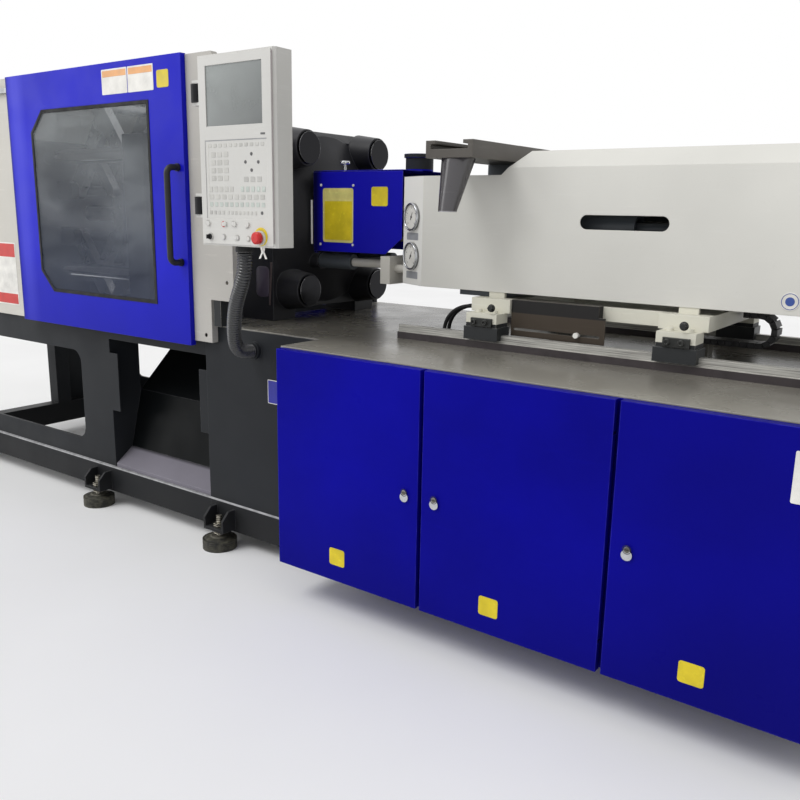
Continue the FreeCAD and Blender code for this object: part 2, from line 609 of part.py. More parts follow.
def levelling_foot(x, y, seat):
    """Ribbed pad on a bolt, with the nut that carries the bed under its seat."""
    pad = rod("z", ("0", "pad_height"), (x, y), "pad_radius")
    neck_z = ("pad_height", "pad_height + pad_neck_height")
    neck = cone("z", neck_z, (x, y), "pad_radius - pad_shoulder", "pad_neck_radius")
    bolt = rod("z", ("pad_height", "bolt_top"), (x, y), "bolt_radius")
    nut = hexagon((f"{seat} - nut_height", seat), (x, y), "nut_width")
    return fuse(pad, neck, bolt, nut)


def front_foot(x):
    plate_top = "bracket_bottom + bracket_plate"
    lock_nut = hexagon((plate_top, f"{plate_top} + nut_height"), (x, "front_feet"), "nut_width")
    return fuse(levelling_foot(x, "front_feet", "bracket_bottom"), lock_nut)


node("levelling_feet", group(
    *[front_foot(x) for x in (*CLAMP_FEET, JOINT_FOOT)],
    *[levelling_foot(x, "rear_feet", "foot_height") for x in (*CLAMP_FEET, JOINT_FOOT, *RIGHT_FEET)],
    *[levelling_foot(x, "hidden_front_feet", "foot_height") for x in RIGHT_FEET],
))

# ---------------------------------------------------------------- cabinet and its doors


def door_left(index):
    return f"cabinet_left + door_edge + {index} * (door_width + door_gap)"


HINGE_SIDES = ("left", "right", "right")


def hinge_axis(index):
    if HINGE_SIDES[index] == "left":
        return f"{door_left(index)} + door_axis_inset"
    return f"{door_left(index)} + door_width - door_axis_inset"


def hinge_heights():
    return ("cabinet_bottom + door_hinge_inset", "cabinet_top - door_hinge_inset")


def cabinet():
    outer = block(
        ("cabinet_left", "cabinet_right"), ("cabinet_front", "bed_front"), ("cabinet_bottom", "cabinet_top")
    )
    inner = block(
        ("cabinet_left + cabinet_sheet", "cabinet_right - cabinet_sheet"),
        ("cabinet_front + cabinet_sheet", "bed_front - cabinet_sheet"),
        ("cabinet_bottom + cabinet_sheet", "cabinet_top - cabinet_sheet"),
    )
    mouths = []
    for i in range(3):
        left = f"{door_left(i)} - door_gap / 2 + divider_half_width"
        if i == 0:
            left = "cabinet_left + cabinet_rim"
        right = (
            "cabinet_right - cabinet_rim" if i == 2
            else f"{door_left(i)} + door_width + door_gap / 2 - divider_half_width"
        )
        mouths.append(block(
            (left, right), ("cabinet_front - 1", "cabinet_front + cabinet_sheet + 1"),
            ("cabinet_bottom + cabinet_rim", "cabinet_top - cabinet_rim"),
        ))
    parts = [cut(outer, inner, *mouths)]
    for i in range(3):
        x = hinge_axis(i)
        for z in hinge_heights():
            lug = block(
                around(x, "door_lug_half"), (
                    "door_axis_y - door_lug_half", "cabinet_front + cabinet_sheet"
                ),
                around(z, "door_lug / 2"),
            )
            pin = rod("z", around(z, "door_pin_half"), (x, "door_axis_y"), "door_pin_radius")
            if HINGE_SIDES[i] == "left":
                edge = ("cabinet_left", f"{x} + door_lug_half")
            elif i == 2:
                edge = (f"{x} - door_lug_half", "cabinet_right")
            else:
                edge = (f"{x} - door_lug_half", f"{x} + door_axis_inset + door_gap / 2")
            foot = block(edge, ("cabinet_front", "cabinet_front + cabinet_sheet"), around(z, "door_lug"))
            parts.append(fuse(lug, pin, foot))
    return fuse(*parts)


def lock_x(index):
    if HINGE_SIDES[index] == "left":
        return f"{door_left(index)} + door_width - lock_inset"
    return f"{door_left(index)} + lock_inset"


def door(index):
    left = door_left(index)
    right = f"{left} + door_width"
    outer = block((left, right), ("door_front", "door_back"), ("cabinet_bottom", "cabinet_top"))
    inner = block(
        (f"{left} + door_sheet", f"{right} - door_sheet"), ("door_front + door_sheet", "door_back + 1"),
        ("cabinet_bottom + door_sheet", "cabinet_top - door_sheet"),
    )
    tools = [inner]
    knuckles = []
    x = hinge_axis(index)
    edge = (left, f"{x} + door_lug_half") if HINGE_SIDES[index] == "left" else (
        f"{x} - door_lug_half", right
    )
    for z in hinge_heights():
        relief = block(
            edge, ("door_axis_y - door_lug_half - door_lug_play", "door_back + 1"),
            around(z, "door_lug / 2 + 0.5")
        )
        tools.append(relief)
        for low, high in (
            (f"{z} - door_pin_half", f"{z} - door_lug / 2 - 0.5"),
            (f"{z} + door_lug / 2 + 0.5", f"{z} + door_pin_half")
        ):
            knuckle = block(
                edge, ("door_front + door_sheet / 2", "door_axis_y + door_lug_half"), (low, high)
            )
            bore = rod(
                "z", (f"{low} - 1", f"{high} + 1"), (x, "door_axis_y"), "door_pin_radius + running_gap"
            )
            knuckles.append(cut(knuckle, bore))
    lock_hole = rod(
        "y", ("door_front - 1", "door_front + door_sheet + 1"), (
            lock_x(index), "cabinet_bottom + lock_height"
        ),
        "lock_stem + running_gap",
    )
    return fuse(cut(outer, *tools, lock_hole), *knuckles)


def door_lock(index):
    x = lock_x(index)
    z = "cabinet_bottom + lock_height"
    knob = rod("y", ("door_front - lock_proud", "door_front - lock_gap"), (x, z), "lock_radius")
    tongue_y = "cabinet_front + cabinet_sheet + 2"
    stem = rod("y", ("door_front - lock_proud", f"{tongue_y} + lock_tongue_sheet"), (x, z), "lock_stem")
    tongue = block(
        around(x, "lock_tongue_width / 2"), (tongue_y, f"{tongue_y} + lock_tongue_sheet"),
        (f"{z} - lock_stem", f"{z} + lock_tongue"),
    )
    return fuse(knob, stem, tongue)


for i in range(3):
    node(f"cabinet_door_{i + 1}", door(i))
    node(f"door_lock_{i + 1}", door_lock(i))


# low and high edge of each row of control gear above the cabinet's bottom, and the count in a row
GEAR_ROWS = ((90, 330, 2), (390, 520, 4), (580, 670, 3))


def control_gear():
    """Mounting plate in the cabinet with its drives and terminal boxes."""
    back = ("bed_front - cabinet_sheet - gear_plate", "bed_front - cabinet_sheet")
    plate = block(
        ("cabinet_left + gear_margin", "cabinet_right - gear_margin"), back,
        ("cabinet_bottom + gear_margin", "cabinet_top - gear_margin"),
    )
    parts = [plate]
    for i in range(3):
        left = f"{door_left(i)} + gear_margin"
        for row, (low, high, count) in enumerate(GEAR_ROWS):
            pitch = f"(door_width - 2 * gear_margin) / {count}"
            for k in range(count):
                x = f"{left} + {k} * {pitch}"
                parts.append(block(
                    (f"{x} + gear_gap", f"{x} + {pitch} - gear_gap"),
                    (f"{back[0]} - gear_depth + {row} * gear_step", back[0]),
                    (f"cabinet_bottom + {low}", f"cabinet_bottom + {high}"),
                ))
    return fuse(*parts)


node("cabinet", group(cabinet(), control_gear()))


def pump_unit():
    """Oil tank and pump motor on the bottom of the injection bed."""
    floor = "foot_height + bed_wall"
    tank_x = (
        "injection_end - bed_wall - tank_inset - tank_length", "injection_end - bed_wall - tank_inset"
    )
    tank = block(tank_x, around("centreline", "tank_width / 2"), (floor, f"{floor} + tank_height"))
    hollow = block(
        (f"{tank_x[0]} + tank_sheet", f"{tank_x[1]} - tank_sheet"),
        around("centreline", "tank_width / 2 - tank_sheet"),
        (f"{floor} + tank_sheet", f"{floor} + tank_height + 1"),
    )
    axis = f"{floor} + motor_height - motor_radius"
    motor_x = ("bed_joint + motor_from_joint", "bed_joint + motor_from_joint + motor_length")
    motor = rod("x", motor_x, ("centreline", axis), "motor_radius")
    cradle = block(
        (f"{motor_x[0]} + cradle_inset", f"{motor_x[1]} - cradle_inset"),
        around("centreline", "cradle_half_width"), (floor, axis)
    )
    pump = rod("x", (motor_x[1], tank_x[0]), ("centreline", axis), "pump_radius")
    return fuse(cut(tank, hollow), motor, cradle, pump)


node("pump_unit", pump_unit())

# ---------------------------------------------------------------- platens and tie bars


def mould_bolt_holes(face, direction):
    """Four tapped holes for a mould, into a platen from its mould face."""
    holes = []
    for sy in "-+":
        for sz in "-+":
            y = f"centreline {sy} mould_bolt_spacing / 2"
            z = f"axis_height {sz} mould_bolt_spacing / 2"
            low, high = (face, f"{face} + mould_bolt_depth") if direction > 0 else (
                f"{face} - mould_bolt_depth", face
            )
            holes.append(rod("x", (low, high), (y, z), "mould_bolt_radius"))
    return holes


# lines of the two seat cylinders
SEAT_LINES = ("centreline - seat_spread", "centreline + seat_spread")
# lines and height of the two arms that carry the nozzle hood
HOOD_ARMS = ("centreline - hood_arm_spread", "centreline + hood_arm_spread")
HOOD_ARM_HEIGHT = ("hood_top - hood_sheet - hood_arm_height", "hood_top - hood_sheet")


def fixed_platen():
    """Platen with a domed back, capped bar ends, bosses for the seat cylinders and two feet."""
    axis = ("centreline", "axis_height")
    side = around("centreline", "platen_size / 2")
    height = ("platen_low", "platen_top")
    bevel = prism("xz", [
        ("platen_right - platen_bevel", "platen_top"), ("platen_right", "platen_top - platen_bevel"),
        ("platen_right + platen_bevel", "platen_top"),
    ], (f"{side[0]} - 1", f"{side[1]} + 1"))
    plate = cut(block(("platen_left", "platen_right"), side, height), bevel)
    dome = cone("x", ("platen_right", "hub_end"), axis, "hub_radius", "hub_end_radius")
    hub = common(dome, block(("platen_right - 1", "hub_end + 1"), side, height))
    boss_end = "platen_right + boss_depth"
    bosses = [
        cone(
            "x", ("platen_right", boss_end), corner, "boss_radius", "boss_end_radius"
        ) for corner in TIE_CORNERS
    ]
    bosses += [
        rod("x", ("platen_right", "hub_end"), (y, "seat_height"), "seat_radius + seat_boss")
        for y in SEAT_LINES
    ]
    feet = [
        block(("platen_left", "platen_right"), foot, ("bed_top", "platen_low"))
        for foot in about_centre("platen_size / 2 - foot_block_width", "platen_size / 2")
    ]
    holes = [
        rod("x", ("platen_left - 1", f"{boss_end} + 1"), corner, "tie_radius + running_gap")
        for corner in TIE_CORNERS
    ]
    holes += [
        rod(
            "x", (f"{boss_end} + nut_proud - nut_depth", f"{boss_end} + 1"), corner, "nut_radius + shoe_gap"
        )
        for corner in TIE_CORNERS
    ]
    holes += [
        rod(
            "x", ("hub_end - seat_bore_depth", "hub_end + 1"), (y, "seat_height"), "seat_bore + running_gap"
        )
        for y in SEAT_LINES
    ]
    holes.append(rod("x", ("platen_left", "platen_left + register_depth"), axis, "register_radius"))
    holes.append(rod("x", ("platen_left", "hub_end + 1"), axis, "nozzle_hole_radius"))
    holes.append(cone("x", ("platen_right", "hub_end"), axis, "nozzle_hole_radius", "hub_mouth_radius"))
    # seats of the hood's arms
    seats = [
        block(
            ("platen_right", "hub_end"), around(y, "hood_arm_width / 2"), HOOD_ARM_HEIGHT
        ) for y in HOOD_ARMS
    ]
    return cut(fuse(plate, hub, *bosses, *seats, *feet), *holes, *mould_bolt_holes("platen_left", 1))


node("fixed_platen", fixed_platen())


def tie_bar(corner):
    start = "tail_left - tail_nut_depth - tie_tail_length"
    end = "platen_right + boss_depth + nut_proud"
    nut = rod("x", (f"{end} - nut_depth", end), corner, "nut_radius")
    return fuse(rod("x", (start, end), corner, "tie_radius"), nut)


node("tie_bars", group(*[tie_bar(corner) for corner in TIE_CORNERS]))


def pivot_ears(pivot, root, bands, upper):
    """Ears for a pair of pins along Y, with the pins pressed in."""
    parts = []
    for sign in "+-":
        z = f"axis_height {sign} toggle_offset"
        for low, high in bands:
            for side in about_centre(low, high):
                parts.append(rod("y", side, (pivot, z), "ear_root"))
                span = (root, pivot) if upper else (pivot, root)
                parts.append(block(span, side, around(z, "ear_root")))
        parts.append(rod("y", around("centreline", "band_end"), (pivot, z), "pin_radius"))
    return parts


def tail_platen():
    half = "platen_size / 2"
    plate = block(("tail_left", "tail_right"), around("centreline", half), ("platen_low", "platen_top"))
    holes = [
        rod("x", ("tail_left - tail_nut_depth - 1", "tail_right + 1"), corner, "tie_radius + running_gap")
        for corner in TIE_CORNERS
    ]
    rod_hole = rod(
        "x", ("tail_left - 1", "tail_right + 1"), ("centreline", "axis_height"), "rod_radius + tail_rod_play"
    )
    nuts = [
        rod("x", ("tail_left - tail_nut_depth", "tail_left"), corner, "nut_radius")
        for corner in TIE_CORNERS
    ]
    shoes = [
        block(("tail_left", "tail_right"), side, ("bed_top + shoe_gap", "platen_low"))
        for side in about_centre(f"{half} - foot_block_width", half)
    ]
    body = cut(fuse(plate, *nuts, *shoes), *holes, rod_hole)
    ears = pivot_ears("tail_pivot", "tail_right", [("band_c", "band_end")], True)
    return fuse(body, *ears)


def clamp_cylinder():
    axis = ("centreline", "axis_height")
    start = "tail_left - cylinder_length"
    outer = [
        rod("x", (start, "tail_left"), axis, "cylinder_radius"),
        rod("x", (f"{start} - cylinder_cap", start), axis, "cylinder_cap_radius"),
        rod("x", ("tail_left - cylinder_cap", "tail_left"), axis, "cylinder_cap_radius"),
    ]
    bore = rod("x", (start, "tail_left - cylinder_end_wall"), axis, "cylinder_bore")
    rod_hole = rod("x", (start, "tail_left + 1"), axis, "rod_radius + running_gap")
    return cut(fuse(*outer), bore, rod_hole)


node("tail_platen", fuse(tail_platen(), clamp_cylinder()))


def link(length, half_width, bands, start, tilt_sign, bore_ends, pins):
    """Pair of link plates from a start pin; tilted up (+1) or down (-1) by the toggle angle."""
    low, high = bands
    plates = []
    for side in about_centre(low, high):
        bar = fuse(
            block(("0", length), side, (f"-({half_width})", half_width)),
            rod("y", side, ("0", "0"), half_width),
            rod("y", side, (length, "0"), half_width),
        )
        bores = [
            rod("y", (f"{side[0]} - 1", f"{side[1]} + 1"), (x, "0"), f"{radius} + {gap}")
            for x, radius, gap in bore_ends
        ]
        plates.append(cut(bar, *bores) if bores else bar)
    for x, radius, reach in pins:
        plates.append(rod("y", around("centreline", reach), (x, "0"), radius))
    whole = fuse(*plates)
    moved = doc.addObject("Part::Compound", "Tilted")
    moved.Links = [whole]
    moved.Placement = Placement(Vector(), Rotation(Vector(0, -tilt_sign, 0), 10))
    bind(moved, "Placement.Rotation.Angle", "toggle_angle")
    bind(moved, "Placement.Base.x", start[0])
    bind(moved, "Placement.Base.z", start[1])
    return moved


for name, sign, open_gap in (("upper", 1, "running_gap"), ("lower", -1, "open_pivot_gap")):
    side = "+" if sign > 0 else "-"
    tail = ("tail_pivot", f"axis_height {side} toggle_offset")
    knee = ("knee_x", f"axis_height {side} knee_rise")
    crank = ("crank_x", f"axis_height {side} crank_rise")
    node(f"{name}_rear_link", link(
        "toggle_link", "link_half_width", ("band_b", "band_b + band_depth"), tail, sign,
        [("0", "pin_radius", "running_gap")],
        [
            ("toggle_link", "pin_radius", "band_end"),
            ("crank_length", "crank_pin_radius", "band_b + band_depth / 2")
        ],
    ))
    node(f"{name}_front_link", link(
        "toggle_link", "link_half_width", ("band_c", "band_c + band_depth"), knee, -sign,
        [("0", "pin_radius", "running_gap"), ("toggle_link", "pin_radius", open_gap)], [],
    ))
    node(f"{name}_crank_link", link(
        "crank_length", "crank_half_width", ("band_a", "band_a + band_depth"), crank, -sign,
        [("0", "crank_pin_radius", "running_gap"), ("crank_length", "crank_pin_radius", open_gap)], [],
    ))


def crosshead():
    x = "crosshead_x"
    head = block(
        around(x, "crosshead_half_length"), around("centreline", "band_start - band_gap"),
        around("axis_height", "crosshead_half_height"),
    )
    pins = [
        rod(
            "y", around("centreline", "band_a + band_depth"), (x, f"axis_height {sign} toggle_offset"),
            "crank_pin_radius"
        )
        for sign in "+-"
    ]
    start = f"{x} - crosshead_half_length - rod_length"
    piston_rod = rod("x", (start, x), ("centreline", "axis_height"), "rod_radius")
    piston = rod(
        "x", (start, f"{start} + piston_length"), ("centreline", "axis_height"), "cylinder_bore - running_gap"
    )
    return fuse(head, *pins, piston_rod, piston)


node("crosshead", crosshead())


def moving_platen():
    half = "platen_size / 2"
    plate = block(("moving_left", "moving_right"), around("centreline", half), ("platen_low", "platen_top"))
    bushes = [
        rod(
            "x", ("moving_left - bush_depth", "moving_left"), corner, "bush_radius"
        ) for corner in TIE_CORNERS
    ]
    shoes = [
        block(
            ("moving_left - shoe_overhang", "moving_right"), side, ("bed_top + shoe_gap", "platen_low")
        )
        for side in about_centre(f"{half} - foot_block_width", half)
    ]
    holes = [
        rod("x", ("moving_left - bush_depth - 1", "moving_right + 1"), corner, "tie_radius + running_gap")
        for corner in TIE_CORNERS
    ]
    axis = ("centreline", "axis_height")
    holes.append(rod("x", ("moving_right - register_depth", "moving_right"), axis, "register_radius"))
    for sy in "-+":
        holes.append(rod(
            "x", ("moving_left - 1", "moving_right + 1"),
            (f"centreline {sy} ejector_pin_spacing / 2", "axis_height"), "ejector_pin_radius + running_gap",
        ))
    guides = [
        rod("x", ("moving_left - ejector_gap - ejector_stroke", "moving_left"),
            (f"centreline {sy} ejector_bar_spacing / 2", f"axis_height {sz} ejector_bar_spacing / 2"),
            "ejector_bar_radius")
        for sy, sz in (("-", "-"), ("+", "+"))
    ]
    ears = pivot_ears("platen_pivot", "moving_left", [("band_b", "band_b + band_depth")], False)
    return fuse(
        cut(fuse(plate, *bushes, *shoes), *holes, *mould_bolt_holes("moving_right", -1)), *guides, *ears
    )


node("moving_platen", moving_platen())


def ejector():
    """Ejector plate with its two rods, guided on two bars behind the moving platen."""
    back = "moving_left - ejector_gap"
    plate = block(
        (f"{back} - ejector_plate", back), around("centreline", "band_b - band_gap"),
        around("axis_height", "ejector_size / 2")
    )
    pins = [
        rod(
            "x", (back, "moving_right - ejector_stroke - 1"),
            (f"centreline {sy} ejector_pin_spacing / 2", "axis_height"), "ejector_pin_radius"
        )
        for sy in "-+"
    ]
    holes = [
        rod("x", (f"{back} - ejector_plate - 1", f"{back} + 1"),
            (f"centreline {sy} ejector_bar_spacing / 2", f"axis_height {sz} ejector_bar_spacing / 2"),
            "ejector_bar_radius + running_gap")
        for sy, sz in (("-", "-"), ("+", "+"))
    ]
    return fuse(cut(plate, *holes), *pins)


node("ejector", ejector())

# ---------------------------------------------------------------- covers, guards and rails


def clamp_cover():
    x = ("cover_left", "cover_right")
    faces = {"front": "cover_face", "rear": "2 * centreline - (cover_face)"}
    outer = block(x, (faces["front"], faces["rear"]), ("cover_bottom", "cover_top"))
    inner = block(
        ("cover_left + cover_sheet", "cover_right + 1"),
        (f"{faces['front']} + cover_sheet", f"{faces['rear']} - cover_sheet"),
        ("cover_bottom - 1", "cover_top - cover_sheet"),
    )
    shell = cut(outer, inner)
    lips = []
    for lip in both_sides("-cover_offset", "cover_lip"):
        lips.append(block(("clamp_end", "cover_right"), lip, ("bed_top", "bed_top + cover_sheet")))
    return fuse(shell, *lips)


node("clamp_cover", clamp_cover())


def chamfered(left, right, low, high, chamfer, inset):
    """Window outline with both left corners cut at 45 degrees, drawn in by inset."""
    step = f"({chamfer} + tan(22.5) * ({inset}))"
    x0 = f"{left} + ({inset})"
    x1 = f"{right} - ({inset})"
    z0 = f"{low} + ({inset})"
    z1 = f"{high} - ({inset})"
    near = f"{left} + {step}"
    return [
        (near, z0), (x1, z0), (x1, z1), (near, z1),
        (x0, f"{high} - {step}"), (x0, f"{low} + {step}"),
    ]


def pane_outline(inset, high="pane_high"):
    return chamfered("pane_left", "pane_right", "pane_low", high, "pane_chamfer", inset)


def bent_block(x, y, z, bend):
    """Block whose upright edge at low X and low Y is rounded."""
    rounded = fuse(
        block((f"{x[0]} + {bend}", x[1]), y, z),
        block(x, (f"{y[0]} + {bend}", y[1]), z),
        rod("z", z, (f"{x[0]} + {bend}", f"{y[0]} + {bend}"), bend),
    )
    return common(rounded, block(x, y, z))


def guard_roller(x, rail_y, z, hanger_y):
    """Roller on a hanger plate behind a sliding guard."""
    wheel = rod("y", rail_y, (x, z), "roller_radius")
    hanger = block(
        around(x, "hanger_width / 2"), hanger_y, (f"{z} - roller_radius", f"{z} + roller_radius")
    )
    return fuse(wheel, hanger)


def front_guard():
    x = ("guard_left", "guard_right")
    z = ("guard_bottom", "guard_top")
    outer = bent_block(x, ("guard_front", "guard_back_face"), z, "guard_bend")
    inner = bent_block(
        ("guard_left + guard_sheet", "guard_right - guard_sheet"),
        ("guard_front + guard_sheet", "guard_back_face + 1"),
        ("guard_bottom + guard_sheet", "guard_top - guard_sheet"), "guard_bend - guard_sheet",
    )
    hole = prism("xz", pane_outline("0"), ("guard_front - 1", "guard_back_face + 1"))
    collar = cut(
        prism(
            "xz", pane_outline("-guard_sheet"),
            ("guard_front + guard_sheet / 2", "guard_front + guard_sheet + gasket_depth")
        ),
        prism("xz", pane_outline("0"), ("guard_front - 1", "guard_back_face + 1")),
    )
    rollers = []
    for rx in ("guard_left + roller_inset", "guard_right - roller_inset"):
        rail_top = "rail_z + rail_height"
        rollers.append(guard_roller(
            rx, ("rail_back - rail_thickness", "rail_back - rail_clearance"),
            f"{rail_top} + roller_radius + rail_clearance / 2",
            ("guard_front + guard_sheet", "rail_back - rail_thickness"),
        ))
    guides = [
        block(around(rx, "20"), ("guard_front + guard_sheet", "strip_front - rail_clearance"),
              ("strip_low + 2", "strip_low + low_rail_height - 2"))
        for rx in ("guard_left + roller_inset", "guard_right - roller_inset")
    ]
    return fuse(cut(outer, inner, hole), collar, *rollers, *guides)


node("front_guard", front_guard())
node("window_gasket", cut(
    prism("xz", pane_outline("pane_gap"), ("guard_front - gasket_proud", "guard_front + gasket_depth")),
    prism(
        "xz", pane_outline("gasket_width"),
        ("guard_front - gasket_proud - 1", "guard_front + gasket_depth + 1")
    ),
))
node("guard_window", prism(
    "xz", pane_outline("gasket_width + pane_gap"), ("guard_front + 1", "guard_front + 1 + pane_thickness")
))


def guard_handle():
    """Bow handle: a round bar between two feet on the guard's face."""
    bar_y = "guard_front - handle_standoff"
    low = "handle_z"
    high = "handle_z + handle_length"
    parts = [
        rod("z", (f"{low} + handle_bend", f"{high} - handle_bend"), ("handle_x", bar_y), "handle_radius")
    ]
    out, down, side = Vector(0, -1, 0), Vector(0, 0, -1), Vector(1, 0, 0)
    for z, turn, axes in ((low, 1, (out, down, side)), (high, -1, (-down, out, side))):
        corner = doc.addObject("Part::Torus", "Bend")
        corner.Angle3 = 90
        bind(corner, "Radius1", "handle_bend")
        bind(corner, "Radius2", "handle_radius")
        corner.Placement = Placement(Vector(), Rotation(*axes, "XYZ"))
        locate(corner, "handle_x", f"{bar_y} + handle_bend", f"{z} + {turn} * handle_bend")
        parts.append(corner)
        arm_y = (f"{bar_y} + handle_bend", "guard_front - handle_foot_depth")
        parts.append(rod("y", arm_y, ("handle_x", z), "handle_radius"))
        foot_y = ("guard_front - handle_foot_depth", "guard_front")
        parts.append(rod("y", foot_y, ("handle_x", z), "handle_foot_radius"))
    return fuse(*parts)


node("guard_handle", guard_handle())


def rear_guard():
    """Sliding guard at the rear, lower than the front one: a plain pan with a window and a flat grip."""
    back = "rear_guard_back"
    front = f"{back} + guard_depth"
    outer = block(("guard_left", "rear_guard_right"), (back, front), ("guard_bottom", "rear_guard_top"))
    inner = block(
        ("guard_left + guard_sheet", "rear_guard_right - guard_sheet"),
        (f"{back} - 1", f"{front} - guard_sheet"),
        ("guard_bottom + guard_sheet", "rear_guard_top - guard_sheet"),
    )
    hole = prism("xz", pane_outline("0", "rear_pane_high"), (f"{back} - 1", f"{front} + 1"))
    pane = prism(
        "xz", pane_outline("-gasket_width", "rear_pane_high"),
        (f"{front} - guard_sheet - pane_thickness", f"{front} - guard_sheet"),
    )
    grip = block(
        around("rear_guard_right - handle_from_right", "handle_radius"), (
            front, f"{front} + handle_radius"
        ),
        ("handle_z", "handle_z + handle_length"),
    )
    rollers = [
        guard_roller(
            x, ("rear_rail_face + rail_clearance", "rear_rail_face + rail_thickness"),
            "rear_rail_z + rail_height + roller_radius + rail_clearance / 2",
            ("rear_rail_face + rail_thickness", f"{front} - guard_sheet"),
        )
        for x in ("guard_left + roller_inset", "rear_guard_right - roller_inset")
    ]
    return fuse(cut(outer, inner, hole), pane, grip, *rollers)


node("rear_guard", rear_guard())


def guard_rails():
    """Hanging rails on the covers and guide strips on the bed, at the front and the rear."""
    front_rail_bar = block(
        ("rail_left", "rail_right"), ("rail_back - rail_thickness", "rail_back"), (
            "rail_z", "rail_z + rail_height"
        )
    )
    rear_height = ("rear_rail_z", "rear_rail_z + rail_height")
    rear_rail_bar = block(
        ("rail_left", "rear_rail_right"), ("rear_rail_face", "rear_rail_face + rail_thickness"), rear_height
    )
    # the rear rail's right end is held by a stay on the fixed platen
    stay = block(
        ("rear_rail_right - rear_stay_width", "rear_rail_right"),
        ("centreline + platen_size / 2", "rear_rail_face + rail_thickness"), rear_height,
    )
    strips = [
        block(("cover_right + 1", "rail_right"), y, ("strip_low", "strip_low + low_rail_height"))
        for y in both_sides("-rail_thickness", "wall_setback")
    ]
    return group(front_rail_bar, fuse(rear_rail_bar, stay), *strips)


node("guard_rails", guard_rails())


def front_post():
    """Folded cream panel beside the guard that carries the controller."""
    def outline(inset):
        return [
            (f"post_left + {inset}", f"post_bottom + {inset}"),
            (f"post_left + post_foot_width - {inset}", f"post_bottom + {inset}"),
            (f"post_left + post_foot_width - {inset}", f"post_notch + {inset}"),
            (f"post_left + post_head_width - {inset}", f"post_notch + {inset}"),
            (f"post_left + post_head_width - {inset}", f"post_top - post_slope - {inset}"),
            (f"post_left + post_head_width - post_shoulder - {inset}", f"post_top - {inset}"),
            (f"post_left + {inset}", f"post_top - {inset}"),
        ]
    through = ("post_front - 1", "bed_front")
    pan = cut(
        prism("xz", outline("0"), ("post_front", "bed_front")),
        prism("xz", outline("post_sheet"), ("post_front + post_sheet", "bed_front + 1")),
        rod(
            "y", through, ("post_left + post_head_width - post_hole_inset", "post_notch + post_high_hole"),
            "post_hole_radius"
        ),
        rod(
            "y", through, ("post_left + post_foot_width - post_hole_inset", "post_bottom + post_low_hole"),
            "post_hole_radius"
        ),
    )
    # stays behind the panel down to the platen foot
    stay_x = (
        "post_left + post_foot_width + post_stay_inset",
        "post_left + post_foot_width + post_stay_inset + post_stay_width"
    )
    stay = block(
        stay_x, ("post_front + post_sheet", "bed_front + stay_length"),
        ("bed_top", "bed_top + post_sheet * 2")
    )
    upright = block(
        stay_x, ("post_front + post_sheet", "bed_front + post_stay_depth"), (
            "bed_top", "post_notch + post_stay_rise"
        )
    )
    return fuse(pan, stay, upright)


node("guard_posts", front_post())

# ---------------------------------------------------------------- controller

HINGE_HEIGHTS = ("controller_top - hinge_drop", "controller_top - hinge_drop - hinge_spacing")


def controller_hinges():
    """Two arms from the post with a hinge block and pin at their ends."""
    arms = []
    for z in HINGE_HEIGHTS:
        height = around(z, "hinge_half_height")
        knuckle = rod("z", height, ("swing_axis_x", "swing_axis_y"), "hinge_size / 2")
        reach = block(around("swing_axis_x", "arm_width / 2"), ("swing_axis_y", "post_front"), height)
        bridge = block(
            ("post_left + arm_from_post", "swing_axis_x"), ("post_front - arm_width", "post_front"), height
        )
        pin_half = "hinge_half_height + lug_gap + lug_sheet"
        pin = rod("z", around(z, pin_half), ("swing_axis_x", "swing_axis_y"), "swing_pin_radius")
        arms.append(fuse(knuckle, reach, bridge, pin))
    return group(*arms)


node("controller_hinges", controller_hinges())


# distances of the push buttons from the left edge of the panel
UPPER_BUTTONS = (44, 127, 173, 235)
LOWER_BUTTONS = (117, 176)


def panel_button(x, z):
    return rod(
        "y", ("controller_front - button_height", "controller_front + bezel_step"), (x, z), "button_radius"
    )


